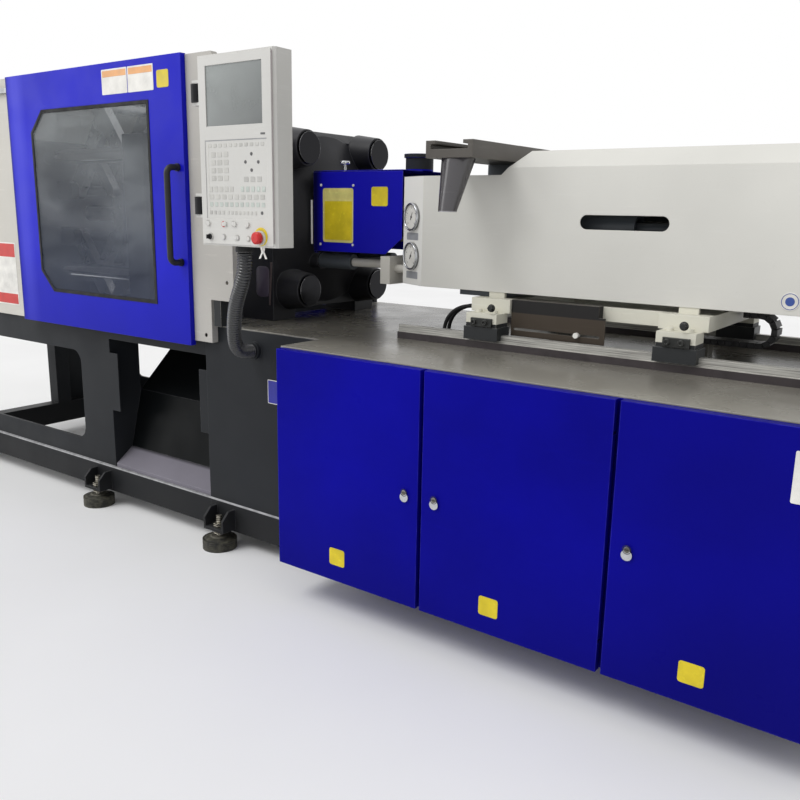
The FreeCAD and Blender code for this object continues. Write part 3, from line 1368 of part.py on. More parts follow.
def controller_case():
    z = ("controller_bottom", "controller_top")
    front = "controller_front + bezel_step"
    body = prism("xy", [
        ("controller_left", "controller_back"), ("controller_left", f"{front} + case_chamfer"),
        ("controller_left + case_chamfer", front), ("controller_right - case_chamfer", front),
        ("controller_right", f"{front} + case_chamfer"), ("controller_right", "controller_back"),
    ], z)
    face = block(
        ("controller_left + bezel_inset + case_chamfer", "controller_right - bezel_inset - case_chamfer"),
        ("controller_front", "controller_front + bezel_step"),
        ("controller_bottom + bezel_inset", "controller_top - bezel_inset"),
    )
    inner = block(
        ("controller_left + controller_sheet", "controller_right - controller_sheet"),
        (
            "controller_front + bezel_step + screen_recess + controller_sheet",
            "controller_back - controller_sheet"
        ),
        ("controller_bottom + controller_sheet", "controller_top - controller_sheet"),
    )
    screen = block(
        ("screen_left", "screen_left + screen_width"), (
            "controller_front - 1", "controller_front + screen_recess"
        ),
        ("screen_high - screen_height", "screen_high"),
    )
    keypad = block(
        ("keypad_left", "keypad_left + keypad_width"), (
            "controller_front - 1", "controller_front + keypad_recess"
        ),
        ("keypad_low", "keypad_low + keypad_height"),
    )
    stop_axis = ("stop_button_x", "stop_button_z")
    stop_bore = rod(
        "y", ("controller_front - stop_collar_height - 1", "controller_front + stop_bore_depth"), stop_axis,
        "stop_stem_radius + stop_stem_gap",
    )
    collar = rod(
        "y", ("controller_front - stop_collar_height", "controller_front + bezel_step"), stop_axis,
        "stop_collar_radius"
    )
    stop_seat = rod(
        "y", ("controller_front", "controller_front + stop_bore_depth"), stop_axis,
        "stop_stem_radius + stop_sleeve"
    )
    key_axis = ("key_x", "key_z")
    key_bore = rod(
        "y", ("controller_front - 1", "controller_front + key_stem_length + 1"), key_axis,
        "key_stem_radius + running_gap"
    )
    cable_bore = rod(
        "z", ("controller_bottom - gland_length - 1", "controller_bottom + controller_sheet + 1"),
        ("controller_left + gland_from_left", "gland_y"), "gland_bore",
    )
    gland = rod(
        "z", ("controller_bottom - gland_length", "controller_bottom"),
        ("controller_left + gland_from_left", "gland_y"), "gland_radius",
    )
    buttons = [
        panel_button(f"controller_left + {offset}", f"controller_bottom + {row}")
        for row, offsets in (("button_row", UPPER_BUTTONS), ("lower_button_row", LOWER_BUTTONS))
        for offset in offsets
    ]
    lugs = []
    for height in HINGE_HEIGHTS:
        for low, high in (
            (
                f"{height} + hinge_half_height + lug_gap",
                f"{height} + hinge_half_height + lug_gap + lug_sheet"
            ),
            (
                f"{height} - hinge_half_height - lug_gap - lug_sheet",
                f"{height} - hinge_half_height - lug_gap"
            ),
        ):
            plate = block(
                ("swing_axis_x - lug_overhang", "controller_left"),
                around("swing_axis_y", "lug_half_width"), (low, high)
            )
            bore = rod(
                "z", (f"{low} - 1", f"{high} + 1"), ("swing_axis_x", "swing_axis_y"),
                "swing_pin_radius + running_gap"
            )
            lugs.append(cut(plate, bore))
    shell = cut(
        fuse(cut(body, inner), face, gland, stop_seat, collar), screen, keypad, stop_bore, key_bore,
        cable_bore
    )
    return fuse(shell, *buttons, *lugs)


node("controller_case", controller_case())
node("screen", block(
    ("screen_left + screen_gap", "screen_left + screen_width - screen_gap"),
    ("controller_front + screen_recess - screen_thickness", "controller_front + screen_recess"),
    ("screen_high - screen_height + screen_gap", "screen_high - screen_gap"),
))


def stop_button():
    """Mushroom push button on its stem."""
    axis = ("stop_button_x", "stop_button_z")
    back = "controller_front - stop_collar_height - stop_travel"
    front = (f"{back} - stop_thickness", f"{back} - stop_thickness + stop_bevel")
    head = rod("y", (front[0], back), axis, "stop_radius")
    neck = cone("y", front, axis, "stop_radius - stop_bevel", "stop_radius")
    rim = cut(rod("y", front, axis, "stop_radius + 1"), neck)
    stem = rod("y", (f"{back} - 1", f"{back} + stop_stem_length"), axis, "stop_stem_radius")
    return fuse(cut(head, rim), stem)


node("stop_button", stop_button())


def key_switch():
    axis = ("key_x", "key_z")
    head = rod("y", ("controller_front - key_length", "controller_front - lug_gap"), axis, "key_radius")
    stem = rod("y", ("controller_front - 1", "controller_front + key_stem_length"), axis, "key_stem_radius")
    key = block(
        around("key_x", "key_half_sheet"),
        ("controller_front - key_length - key_grip", "controller_front - key_length"),
        around("key_z", "key_half_height"),
    )
    return fuse(head, stem, key)


node("key_switch", key_switch())

# ---------------------------------------------------------------- injection unit

RAILS = ("front_rail", "rear_rail")
CARRIAGES = ("front_carriage", "rear_carriage")


def unit_rail(y):
    x = ("rail_bar_left", "injection_end - rail_bar_right_inset")
    bar = block(x, around(y, "rail_bar_width / 2"), ("bed_top", "unit_rail_z"))
    rail = block(x, around(y, "unit_rail_width / 2"), ("unit_rail_z", "unit_rail_z + unit_rail_height"))
    return fuse(bar, rail)


node("unit_rails", group(*[unit_rail(y) for y in RAILS]))


def carriage(x, y):
    body = block(
        around(x, "carriage_length / 2"), around(y, "carriage_width / 2"), ("carriage_low", "carriage_high")
    )
    groove = block(
        around(x, "carriage_length / 2 + 1"), around(y, "unit_rail_width / 2 + carriage_gap"),
        ("carriage_low - 1", "unit_rail_z + unit_rail_height + carriage_gap"),
    )
    return cut(body, groove)


node("carriages", group(*[carriage(x, y) for x in CARRIAGES for y in RAILS]))


def unit_base():
    """Cream casting on the carriages: pads, two cross feet, side beams and a bolted cross bar."""
    parts = []
    for x in CARRIAGES:
        for y in RAILS:
            parts.append(block(
                around(x, "pad_block_length / 2"), around(y, "pad_block_width / 2"),
                ("carriage_high", "pad_high")
            ))
            for bolt_x in around(x, "pad_bolt_spread"):
                head_z = ("pad_high", "pad_high + bolt_head_height")
                parts.append(rod("z", head_z, (bolt_x, y), "bolt_head_radius"))
        parts.append(block(
            around(x, "unit_foot_length / 2"), around("centreline", "unit_foot_half_width"),
            ("unit_low", "unit_high"),
        ))
    for y in about_centre(
        "side_beam_spread - side_beam_width / 2", "side_beam_spread + side_beam_width / 2"
    ):
        parts.append(
            block(("front_carriage", "rear_carriage"), y, ("unit_low", "unit_low + side_beam_height"))
        )
    # brackets under the cover's long sides
    for x in CARRIAGES:
        for y in about_centre("shell_half - shell_sheet - shell_tab_depth", "shell_half - shell_sheet"):
            height = ("unit_high", "shell_bottom + shell_tab_rise")
            parts.append(block(around(x, "shell_tab_half"), y, height))
    return fuse(*parts)


node("unit_base", unit_base())


def feed_housing():
    """Front plate of the unit with the barrel seat, the feed throat and the two injection cylinders."""
    axis = ("centreline", "axis_height")
    x = ("feed_left", "feed_right")
    plate = block(x, around("centreline", "feed_width / 2"), ("unit_high", "axis_height + feed_shoulder"))
    neck = block(
        ("feed_left", "shell_step_start - feed_neck_gap"), around("centreline", "feed_neck_half"),
        ("axis_height + feed_shoulder - 1", "feed_top"),
    )
    cylinders = [
        rod(
            "x", ("feed_right", "feed_right + shot_cylinder_length"), (y, "axis_height"),
            "shot_cylinder_radius"
        )
        for y in ("centreline - cylinder_spread", "centreline + cylinder_spread")
    ]
    bores = [
        rod(
            "x", ("feed_right + shot_bore_start", "feed_right + shot_cylinder_length + 1"),
            (y, "axis_height"),
            "shot_cylinder_bore"
        )
        for y in ("centreline - cylinder_spread", "centreline + cylinder_spread")
    ]
    seat = rod("x", ("feed_left - 1", "feed_left + barrel_seat"), axis, "barrel_radius")
    bore = rod("x", ("feed_left", "feed_right + 1"), axis, "shaft_radius + running_gap")
    throat = rod("z", ("axis_height", "feed_top + 1"), ("throat_x", "centreline"), "throat_radius")
    return cut(fuse(plate, neck, *cylinders), *bores, seat, bore, throat)


node("feed_housing", feed_housing())


def barrel():
    axis = ("centreline", "axis_height")
    body = rod("x", ("barrel_left", "feed_left + barrel_seat"), axis, "barrel_radius")
    bore = rod("x", ("barrel_left - 1", "feed_left + barrel_seat + 1"), axis, "barrel_bore")
    tip = "barrel_left - nozzle_length"
    base = rod("x", ("barrel_left - nozzle_base", "barrel_left"), axis, "nozzle_radius")
    nose = cone("x", (tip, "barrel_left - nozzle_base"), axis, "nozzle_tip_radius", "nozzle_radius")
    channel = rod("x", (f"{tip} - 1", "barrel_left"), axis, "nozzle_bore")
    throat = rod(
        "z", ("axis_height", "axis_height + barrel_radius + 1"), ("throat_x", "centreline"),
        "barrel_throat_radius"
    )
    return cut(fuse(body, base, nose), bore, channel, throat)


node("barrel", barrel())


def heater_band(index):
    left = f"band_first + {index} * band_count_pitch"
    span = (left, f"{left} + band_length")
    axis = ("centreline", "axis_height")
    ring = cut(
        rod("x", span, axis, "band_radius"),
        rod("x", (f"{span[0]} - 1", f"{span[1]} + 1"), axis, "barrel_radius + band_play")
    )
    clasp = block(
        (f"{left} + clasp_inset", f"{left} + band_length - clasp_inset"), around("centreline", "clasp_half"),
        ("axis_height - band_radius - clasp_height", "axis_height - band_radius + 2"),
    )
    return fuse(ring, clasp)


node("heater_bands", group(*[heater_band(k) for k in range(5)]))


def screw_flight():
    """Helical flight, a swept bar whose foot is sunk in the screw's core."""
    pitch = size("screw_pitch")
    length = size("screw_flight_length")
    foot = size("screw_radius") - 2
    crest = size("screw_flight")
    land = size("screw_land")
    path = Part.makeHelix(pitch, length, crest)
    corners = [Vector(foot, 0, 0), Vector(crest, 0, 0), Vector(crest, 0, land), Vector(foot, 0, land)]
    profile = Part.makePolygon(corners + corners[:1])
    item = doc.addObject("Part::Feature", "ScrewFlight")
    item.Shape = Part.Wire(path.Edges).makePipeShell([profile], True, True)
    item.Placement = Placement(Vector(), TURNS["x"])
    return locate(item, "screw_start + screw_tip + screw_runout", "centreline", "axis_height")


def screw():
    """Plasticising screw with its flight, its tip and its drive shaft."""
    axis = ("centreline", "axis_height")
    start = "screw_start + screw_tip"
    parts = [
        cone("x", ("screw_start", start), axis, "screw_point_radius", "screw_radius"),
        rod("x", (start, "shot_plate_left"), axis, "screw_radius"),
        rod("x", ("feed_right + shaft_start", "shot_plate_right - shaft_end_gap"), axis, "shaft_radius"),
        screw_flight(),
    ]
    return fuse(*parts)


node("screw", screw())


def injection_plate():
    """Driven plate behind the cylinders, with their rods and the bearing of the screw."""
    x = ("shot_plate_left", "shot_plate_right")
    plate = block(
        x, around("centreline", "shot_plate_width / 2"), around("axis_height", "shot_plate_height / 2")
    )
    bearing = rod(
        "x", ("shot_plate_left - 1", "shot_plate_right - shaft_end_gap + 1"), ("centreline", "axis_height"),
        "shaft_radius + running_gap",
    )
    rods = [
        rod(
            "x", ("feed_right + shot_stroke + shot_piston", "shot_plate_left + 1"), (y, "axis_height"),
            "shot_rod_radius"
        )
        for y in ("centreline - cylinder_spread", "centreline + cylinder_spread")
    ]
    pistons = [
        rod(
            "x", ("feed_right + shot_piston_start", "feed_right + shot_stroke + shot_piston + 4"),
            (y, "axis_height"),
            "shot_cylinder_bore - running_gap"
        )
        for y in ("centreline - cylinder_spread", "centreline + cylinder_spread")
    ]
    return fuse(cut(plate, bearing), *rods, *pistons)


def hydraulic_motor():
    axis = ("centreline", "axis_height")
    start = "shot_plate_right"
    flange = rod("x", (start, f"{start} + motor_flange"), axis, "motor_flange_radius")
    body = rod("x", (f"{start} + motor_flange", f"{start} + drive_length"), axis, "motor_body_radius")
    ports = block(
        (f"{start} + drive_length - port_length", f"{start} + drive_length - port_inset"),
        around("centreline", "port_half_width"),
        ("axis_height + motor_body_radius - port_sink", "axis_height + motor_body_radius + port_rise"),
    )
    return fuse(flange, body, ports)


node("injection_plate", group(injection_plate(), hydraulic_motor()))


def seat_cylinder(y):
    """Cylinder bolted to its boss on the fixed platen, open right through for its rod."""
    tube = rod("x", ("hub_end", "hub_end + seat_length"), (y, "seat_height"), "seat_radius")
    bore = rod(
        "x", ("hub_end - 1", "hub_end + seat_length + 1"), (y, "seat_height"), "seat_bore + running_gap"
    )
    return cut(tube, bore)


def seat_cylinders():
    """The two cylinders and the strap that ties their free ends."""
    strap = block(
        ("hub_end + seat_length - seat_strap_depth", "hub_end + seat_length"),
        around("centreline", "seat_spread - (seat_radius + seat_bore) / 2"),
        around("seat_height", "seat_strap_half_height"),
    )
    return fuse(strap, *[seat_cylinder(y) for y in SEAT_LINES])


def seat_plate():
    """Cross plate pulled by the seat cylinders, on two guide bars of the unit."""
    plate = block(
        ("seat_plate_left", "seat_plate_right"), around("centreline", "seat_plate_width / 2"),
        ("seat_height - seat_plate_below", "seat_height + seat_plate_above"),
    )
    rods = [
        rod(
            "x", ("hub_end + seat_length - seat_rod_inside", "seat_plate_left"), (y, "seat_height"),
            "seat_bore"
        )
        for y in SEAT_LINES
    ]
    guides = [
        rod(
            "x", ("seat_plate_right", "feed_left"), (y, "seat_height - seat_guide_drop"),
            "seat_guide_radius"
        )
        for y in (f"centreline {sign} (seat_spread + seat_guide_offset)" for sign in "-+")
    ]
    return fuse(plate, *rods, *guides)


node("seat_cylinders", seat_cylinders())
node("seat_plate", seat_plate())

# ---------------------------------------------------------------- injection cover and gauges


def shell_section(inset):
    """Cross section of the cover: straight sides, a bevel and a flat top."""
    return [
        (f"shell_front + {inset}", "shell_bottom"),
        (f"shell_front + {inset}", f"shell_fold - {inset} / 2"),
        (f"shell_front + shell_bevel + {inset} / 2", f"shell_top - {inset}"),
        (f"shell_rear - shell_bevel - {inset} / 2", f"shell_top - {inset}"),
        (f"shell_rear - {inset}", f"shell_fold - {inset} / 2"),
        (f"shell_rear - {inset}", "shell_bottom"),
    ]


def shell_step(inset):
    """Everything above the low front part and its slope."""
    top = "shell_top + 1"
    return prism("xz", [
        ("shell_left - 1", f"shell_low_top - {inset}"),
        (f"shell_step_start + {inset}", f"shell_low_top - {inset}"),
        (f"shell_step_end + {inset}", f"shell_top - {inset}"),
        (f"shell_step_end + {inset}", top),
        ("shell_left - 1", top),
    ], ("shell_front - 1", "shell_rear + 1"))


def shell_plan(inset, left):
    """Plan of the cover: its left corners are cut off, so its nose is narrower."""
    return prism("xy", [
        (left, f"nose_front + {inset}"), ("shell_left", f"nose_front + {inset}"),
        ("nose_right", f"shell_front + {inset}"), ("shell_right + 1", f"shell_front + {inset}"),
        ("shell_right + 1", f"shell_rear - {inset}"), ("nose_right", f"shell_rear - {inset}"),
        ("shell_left", f"nose_rear - {inset}"), (left, f"nose_rear - {inset}"),
    ], ("shell_bottom - 2", "shell_top + 2"))


def on_nose(items):
    """Put pieces made about the origin on the slanted front corner of the cover, facing outwards."""
    whole = doc.addObject("Part::Compound", "Turned")
    whole.Links = items
    whole.Placement = Placement(Vector(), Rotation(Vector(0, 0, -1), 10))
    bind(whole, "Placement.Rotation.Angle", "atan(nose_setback / (nose_right - shell_left))")
    return locate(whole, "gauge_x", "gauge_y")


def injection_cover():
    outer = cut(prism("yz", shell_section("0"), ("shell_left", "shell_right")), shell_step("0"))
    outer = common(outer, shell_plan("0", "shell_left - 1"))
    inner = prism("yz", shell_section("shell_sheet"), ("shell_left - 1", "shell_right - shell_sheet"))
    hollow = common(cut(inner, shell_step("shell_sheet")), shell_plan("shell_sheet", "shell_left - 1"))
    front_hollow = common(
        block(
            ("shell_left - 1", "shell_step_start"), (
                "shell_front + shell_sheet", "shell_rear - shell_sheet"
            ),
            ("shell_bottom - 1", "shell_low_top + 1"),
        ),
        shell_plan("shell_sheet", "shell_left - 2"),
    )
    slot_half = "slot_height / 2"
    wall = ("shell_front - 1", "shell_front + shell_sheet + 1")
    slot = [
        block(
            (f"slot_left + {slot_half}", f"slot_left + slot_length - {slot_half}"), wall,
            around("slot_axis", slot_half)
        ),
        rod("y", wall, (f"slot_left + {slot_half}", "slot_axis"), slot_half),
        rod("y", wall, (f"slot_left + slot_length - {slot_half}", "slot_axis"), slot_half),
    ]
    gauge_holes = [
        rod("y", around("0", "gauge_depth"), ("0", z), "gauge_body") for z in ("gauge_high", "gauge_low")
    ]
    return cut(outer, hollow, front_hollow, *slot, on_nose(gauge_holes))


node("injection_cover", injection_cover())


def gauge(z):
    """Pressure gauge made about the origin: rim with a sunk dial, body behind the cover's side."""
    rim = rod("y", ("-gauge_proud", "0"), ("0", z), "gauge_bezel")
    body = rod("y", ("-1", "gauge_depth"), ("0", z), "gauge_body - gauge_play")
    dial = rod(
        "y", ("-gauge_proud - 1", "gauge_dial_depth - gauge_proud"), ("0", z), "gauge_bezel - gauge_rim"
    )
    return cut(fuse(rim, body), dial)


node("pressure_gauges", on_nose([gauge("gauge_high"), gauge("gauge_low")]))

# ---------------------------------------------------------------- nozzle hood and guard


def nozzle_hood():
    """Top and rear of the hood over the nozzle, its vent, its arms and the guard's hinge pin."""
    x = ("hood_left", "hood_right")
    top = block(x, ("hood_front", "hood_rear"), ("hood_top - hood_sheet", "hood_top"))
    rear = block(x, ("hood_rear - hood_sheet", "hood_rear"), ("hood_bottom", "hood_top"))
    end = block(
        ("hood_left", "hood_left + hood_sheet"), ("hood_front + hood_leaf_depth", "hood_rear"),
        ("hood_bottom", "hood_top"),
    )
    end_hole = rod(
        "x", ("hood_left - 1", "hood_left + hood_sheet + 1"), ("centreline", "axis_height"),
        "band_radius + hood_clearance"
    )
    end_low = block(
        ("hood_left - 1", "hood_left + hood_sheet + 1"),
        around("centreline", "seat_spread + 2 * hood_clearance"),
        ("hood_bottom - 1", "seat_height + seat_radius + hood_clearance"),
    )
    parts = [top, rear, cut(end, end_hole, end_low)]
    for y in HOOD_ARMS:
        parts.append(
            block(("hub_end", "hood_left + hood_sheet"), around(y, "hood_arm_width / 2"), HOOD_ARM_HEIGHT)
        )
    pin_y = "hood_front + hood_hinge_radius + 1"
    pin_x = "hood_left + hood_hinge_radius + 1"
    parts.append(
        rod("z", ("hood_bottom", "hood_top - hood_sheet"), (pin_x, pin_y), "hood_pin_radius")
    )
    parts.append(block(
        ("hood_left", f"{pin_x} + hood_hinge_radius"),
        ("hood_front + hood_gap", "hood_front + hood_leaf_depth + hood_gap"),
        ("hood_bottom - hood_seat", "hood_bottom"),
    ))
    parts.append(rod("z", ("hood_top", "hood_top + vent_height"), ("vent_x", "vent_y"), "vent_radius"))
    parts.append(rod(
        "z", ("hood_top + vent_height", "hood_top + vent_height + vent_cap_height"),
        ("vent_x", "vent_y"), "vent_cap_radius",
    ))
    hollow = rod(
        "z", ("hood_top - hood_sheet - 1", "hood_top + vent_height"), ("vent_x", "vent_y"),
        "vent_radius - hood_sheet"
    )
    return cut(fuse(*parts), hollow)


node("nozzle_hood", nozzle_hood())


def nozzle_guard():
    """Hinged front panel of the hood with a cut lower corner."""
    low = "hood_bottom + 0.5"
    high = "hood_top - hood_sheet - hood_gap"
    outline = [
        ("hood_left + 1", low), ("hood_chamfer_start", low),
        ("hood_right", f"{low} + hood_chamfer_rise"), ("hood_right", high), ("hood_left + 1", high),
    ]
    panel = prism("xz", outline, ("hood_front - hood_sheet", "hood_front"))
    pin_y = "hood_front + hood_hinge_radius + 1"
    pin_x = "hood_left + hood_hinge_radius + 1"
    barrel_hinge = rod("z", (low, high), (pin_x, pin_y), "hood_hinge_radius")
    leaf = block(("hood_left + 1", f"{pin_x} + hood_hinge_radius"), ("hood_front", pin_y), (low, high))
    bore = rod("z", (f"{low} - 1", f"{high} + 1"), (pin_x, pin_y), "hood_pin_radius + running_gap")
    return cut(fuse(panel, barrel_hinge, leaf), bore)


node("nozzle_guard", nozzle_guard())

# ---------------------------------------------------------------- hopper slide and discharge tube


def slide_groove(gap, y):
    centre = "throat_x"
    low = "feed_top + slide_groove_low"
    wide = block(
        around(centre, f"slide_groove_width / 2 - {gap}"), y,
        (f"{low} + {gap}", f"{low} + slide_groove_height - {gap}")
    )
    neck = block(
        around(centre, f"slide_neck / 2 - {gap}"), y,
        (f"{low} + slide_groove_height - {gap} - 1", "feed_top + slide_height + slide_plate_proud"),
    )
    return fuse(wide, neck)


def hopper_slide_base():
    """Channel from the feed throat to the front, with a hole over the discharge tube."""
    beam = block(
        ("slide_left", "slide_left + slide_width"), ("slide_front", "slide_rear"), (
            "feed_top", "feed_top + slide_height"
        )
    )
    groove = slide_groove("0", ("slide_front - 1", "slide_rear + 1"))
    throat = rod(
        "z", ("feed_top - 1", "feed_top + slide_height"), ("throat_x", "centreline"), "throat_radius"
    )
    mouth = rod(
        "z", ("feed_top - 1", "feed_top + slide_height"), ("throat_x", "tube_y"), "tube_mouth_radius"
    )
    return cut(beam, groove, throat, mouth)


node("hopper_slide_base", hopper_slide_base())


def hopper_slide():
    """Sliding plate that carries the hopper, with its throat and four tapped holes."""
    y = around("centreline", "slide_plate_length / 2")
    plate = slide_groove("slide_gap", y)
    through = ("feed_top", "feed_top + slide_height + slide_plate_proud + 1")
    throat = rod("z", through, ("throat_x", "centreline"), "throat_radius")
    holes = [
        rod("z", through, (x, hole_y), "hopper_bolt_radius")
        for x in around("throat_x", "hopper_bolt_spacing_x / 2")
        for hole_y in around("centreline", "hopper_bolt_spacing_y / 2")
    ]
    return cut(plate, throat, *holes)


node("hopper_slide", hopper_slide())


def leaning_cone(shrink):
    """Solid between a small lower circle and a larger upper one set back from it."""
    circles = []
    for radius, y, z in (
        ("tube_foot_radius", "tube_y - tube_lean", "feed_top - tube_drop"),
        ("tube_top_radius", "tube_y", "feed_top"),
    ):
        circle = doc.addObject("Part::Circle", "Ring")
        bind(circle, "Radius", f"{radius} - {shrink}")
        circles.append(locate(circle, "throat_x", y, z))
    item = doc.addObject("Part::Loft", "LeaningCone")
    item.Sections = circles
    item.Solid = True
    item.Ruled = True
    return item


node("discharge_tube", cut(leaning_cone("0"), leaning_cone("tube_wall")))

# ---------------------------------------------------------------- limit plate and stop


def limit_plate():
    """Slotted plate and the bolted bar that carries it on the unit's front side beam."""
    y = ("limit_y", "limit_y + limit_sheet")
    plate = block(
        ("limit_left", "limit_right"), y, ("limit_low", "limit_low + limit_height")
    )
    half = "limit_slot_height / 2"
    ends = ("limit_slot_left", "limit_slot_left + limit_slot_length")
    wall = ("limit_y - 1", "limit_y + limit_sheet + 1")
    slot = [block(ends, wall, around("limit_slot_axis", half))]
    slot += [rod("y", wall, (x, "limit_slot_axis"), half) for x in ends]
    bar_x = ("cross_bar_left", "cross_bar_left + cross_bar_length")
    bar = block(
        bar_x, ("limit_y + limit_sheet", "centreline - side_beam_spread - side_beam_width / 2"),
        ("unit_low", "unit_low + cross_bar_height"),
    )
    lip = block(bar_x, y, ("limit_low + limit_height - limit_overlap", "unit_low + cross_bar_height"))
    return fuse(cut(plate, *slot), bar, lip)


node("limit_plate", limit_plate())


def limit_stop():
    """Clamped stop: knob in front of the slotted plate and its shank through the slot."""
    axis = ("stop_x", "limit_slot_axis")
    back = "limit_y + limit_sheet"
    knob = rod("y", ("limit_y - stop_knob_length", "limit_y - stop_play"), axis, "stop_knob_radius")
    shank = rod("y", ("limit_y - stop_knob_length", f"{back} + stop_shank_reach"), axis, "stop_shank_radius")
    nut = block(
        around("stop_x", "stop_nut_half"), (f"{back} + stop_play", f"{back} + stop_nut_depth"),
        around("limit_slot_axis", "stop_nut_half"),
    )
    return fuse(knob, shank, nut)


node("limit_stop", limit_stop())

# ---------------------------------------------------------------- flexible pieces


def chain_point(distance):
    """Point and direction on the chain's line: lower run, half circle, upper run."""
    bend = size("chain_bend") + size("chain_thickness") / 2
    low = size("chain_low") + size("chain_thickness") / 2
    tail = size("chain_low_run")
    arc = math.pi * bend
    centre = Vector(size("chain_centre_x"), 0, low + bend)
    if distance < tail:
        return Vector(centre.x - tail + distance, 0, low), 0.0
    if distance < tail + arc:
        angle = (distance - tail) / bend
        return centre + Vector(bend * math.sin(angle), 0, -bend * math.cos(angle)), math.degrees(angle)
    rest = distance - tail - arc
    return Vector(centre.x - rest, 0, low + 2 * bend), 180.0


def cable_chain():
    """Cable chain between bed and unit: alike box links hung on each other along a U."""
    pitch = size("chain_link")
    thickness = size("chain_thickness")
    width = size("chain_width")
    groove = size("chain_groove")
    bend = size("chain_bend") + thickness / 2
    total = size("chain_low_run") + size("chain_high_run") + math.pi * bend
    links = []
    for k in range(int(total / pitch)):
        middle, angle = chain_point((k + 0.5) * pitch)
        box = Part.makeBox(
            pitch - groove, width, thickness, Vector(-(pitch - groove) / 2, -width / 2, -thickness / 2)
        )
        strip = Part.makeBox(
            pitch + 4, width * 0.6, thickness * 0.4, Vector(-pitch / 2 - 2, -width * 0.3, -thickness * 0.2)
        )
        for shape in (box, strip):
            shape.Placement = Placement(middle, Rotation(Vector(0, 1, 0), -angle))
            links.append(shape)
    whole = links[0].multiFuse(links[1:]).removeSplitter()
    item = doc.addObject("Part::Feature", "CableChain")
    item.Shape = whole
    item.Placement = Placement(Vector(0, size("chain_y"), 0), Rotation())
    return item


node("cable_chain", cable_chain())


def rounded_route(points):
    """Straight runs joined by tangent arcs, as one wire, and its least radius."""
    edges = []
    radii = []
    start = points[0]
    for before, corner, after in zip(points, points[1:], points[2:]):
        arriving = (corner - before).normalize()
        leaving = (after - corner).normalize()
        turn = arriving.getAngle(leaving)
        trim = 0.45 * min((corner - before).Length, (after - corner).Length)
        radius = trim / math.tan(turn / 2)
        radii.append(radius)
        first = corner - arriving * trim
        last = corner + leaving * trim
        middle_direction = (leaving - arriving).normalize()
        middle = corner + middle_direction * (radius / math.cos(turn / 2) - radius)
        edges.append(Part.LineSegment(start, first).toShape())
        edges.append(Part.Arc(first, middle, last).toShape())
        start = last
    edges.append(Part.LineSegment(start, points[-1]).toShape())
    return Part.Wire(edges), radii


def route_tube(wire, radius):
    start = wire.Vertexes[0].Point
    direction = wire.Edges[0].tangentAt(wire.Edges[0].FirstParameter)
    profile = Part.Wire(Part.makeCircle(radius, start, direction))
    return wire.makePipeShell([profile], True, False)


# The hose hangs from the gland and hooks into the socket on the bed.
HOSE_ROUTE = [
    Vector(400, -625, 1225), Vector(400, -625, 1162), Vector(374, -620, 1106), Vector(336, -610, 1048),
    Vector(308, -596, 986), Vector(284, -576, 926), Vector(260, -548, 876), Vector(245, -504, 843),
    Vector(245, -451, 843),
]


def hose_rings(wire, count):
    """Stations along the wire with their centre and direction."""
    rings = []
    points = wire.discretize(Number=count)
    for i, point in enumerate(points):
        ahead = points[min(i + 1, count - 1)]
        behind = points[max(i - 1, 0)]
        rings.append((point, (ahead - behind).normalize()))
    return rings


def ribbed_hose():
    """Corrugated hose: ruled lofts through four circles a rib, round an even bore."""
    wire, radii = rounded_route(HOSE_ROUTE)
    root = size("hose_radius")
    crest = root + size("hose_rib_height")
    ribs = int(wire.Length / size("hose_rib_pitch"))
    stations = hose_rings(wire, ribs * 4 + 1)
    heights = (root, crest, crest, root)
    circles = []
    for i, (point, direction) in enumerate(stations):
        ring = Part.Wire(Part.makeCircle(heights[i % 4]))
        ring.Placement = Placement(point, Rotation(Vector(1, 0, 0), Vector(), direction, "ZXY"))
        circles.append(ring)
    outside = Part.makeLoft(circles, True, True)
    bore = route_tube(wire, size("hose_bore"))
    print("hose: length %.0f, least radius %.0f, ribs %d" % (wire.Length, min(radii), ribs))
    return outside.cut(bore)


hose = doc.addObject("Part::Feature", "ControllerHose")
hose.Shape = ribbed_hose()
node("controller_hose", hose)

# Two hoses from the bed top to the unit's front foot.
SMALL_HOSES = [
    [
        Vector(900, y, 921), Vector(900, y, 960), Vector(915, y, 1002), Vector(950, y, 1034),
        Vector(1000, y, 1050), Vector(1045, y, 1052),
    ]
    for y in (-120, -90)
]


def small_hoses():
    tubes = []
    for route in SMALL_HOSES:
        wire, radii = rounded_route(route)
        tube = route_tube(wire, size("small_hose_radius"))
        print("unit hose: length %.0f, least radius %.0f" % (wire.Length, min(radii)))
        tubes.append(tube)
    return Part.makeCompound(tubes)


unit_hoses = doc.addObject("Part::Feature", "UnitHoses")
unit_hoses.Shape = small_hoses()
node("unit_hoses", unit_hoses)

# ---------------------------------------------------------------- checks and export
doc.recompute()
faults = [item.Label for item in doc.Objects if "Invalid" in item.State or "Error" in item.State]
for item in NODES:
    shape = item.Shape
    if shape.isNull() or not shape.isValid() or not shape.Solids:
        faults.append(item.Label)
if faults:
    raise SystemExit("these objects failed: " + ", ".join(faults))
for item in NODES:
    item.Shape.exportStep(f"parts/{item.Label}.step")
print(len(NODES), "nodes written")
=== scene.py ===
import json
import math

import bmesh
import bpy
from mathutils import Matrix, Vector


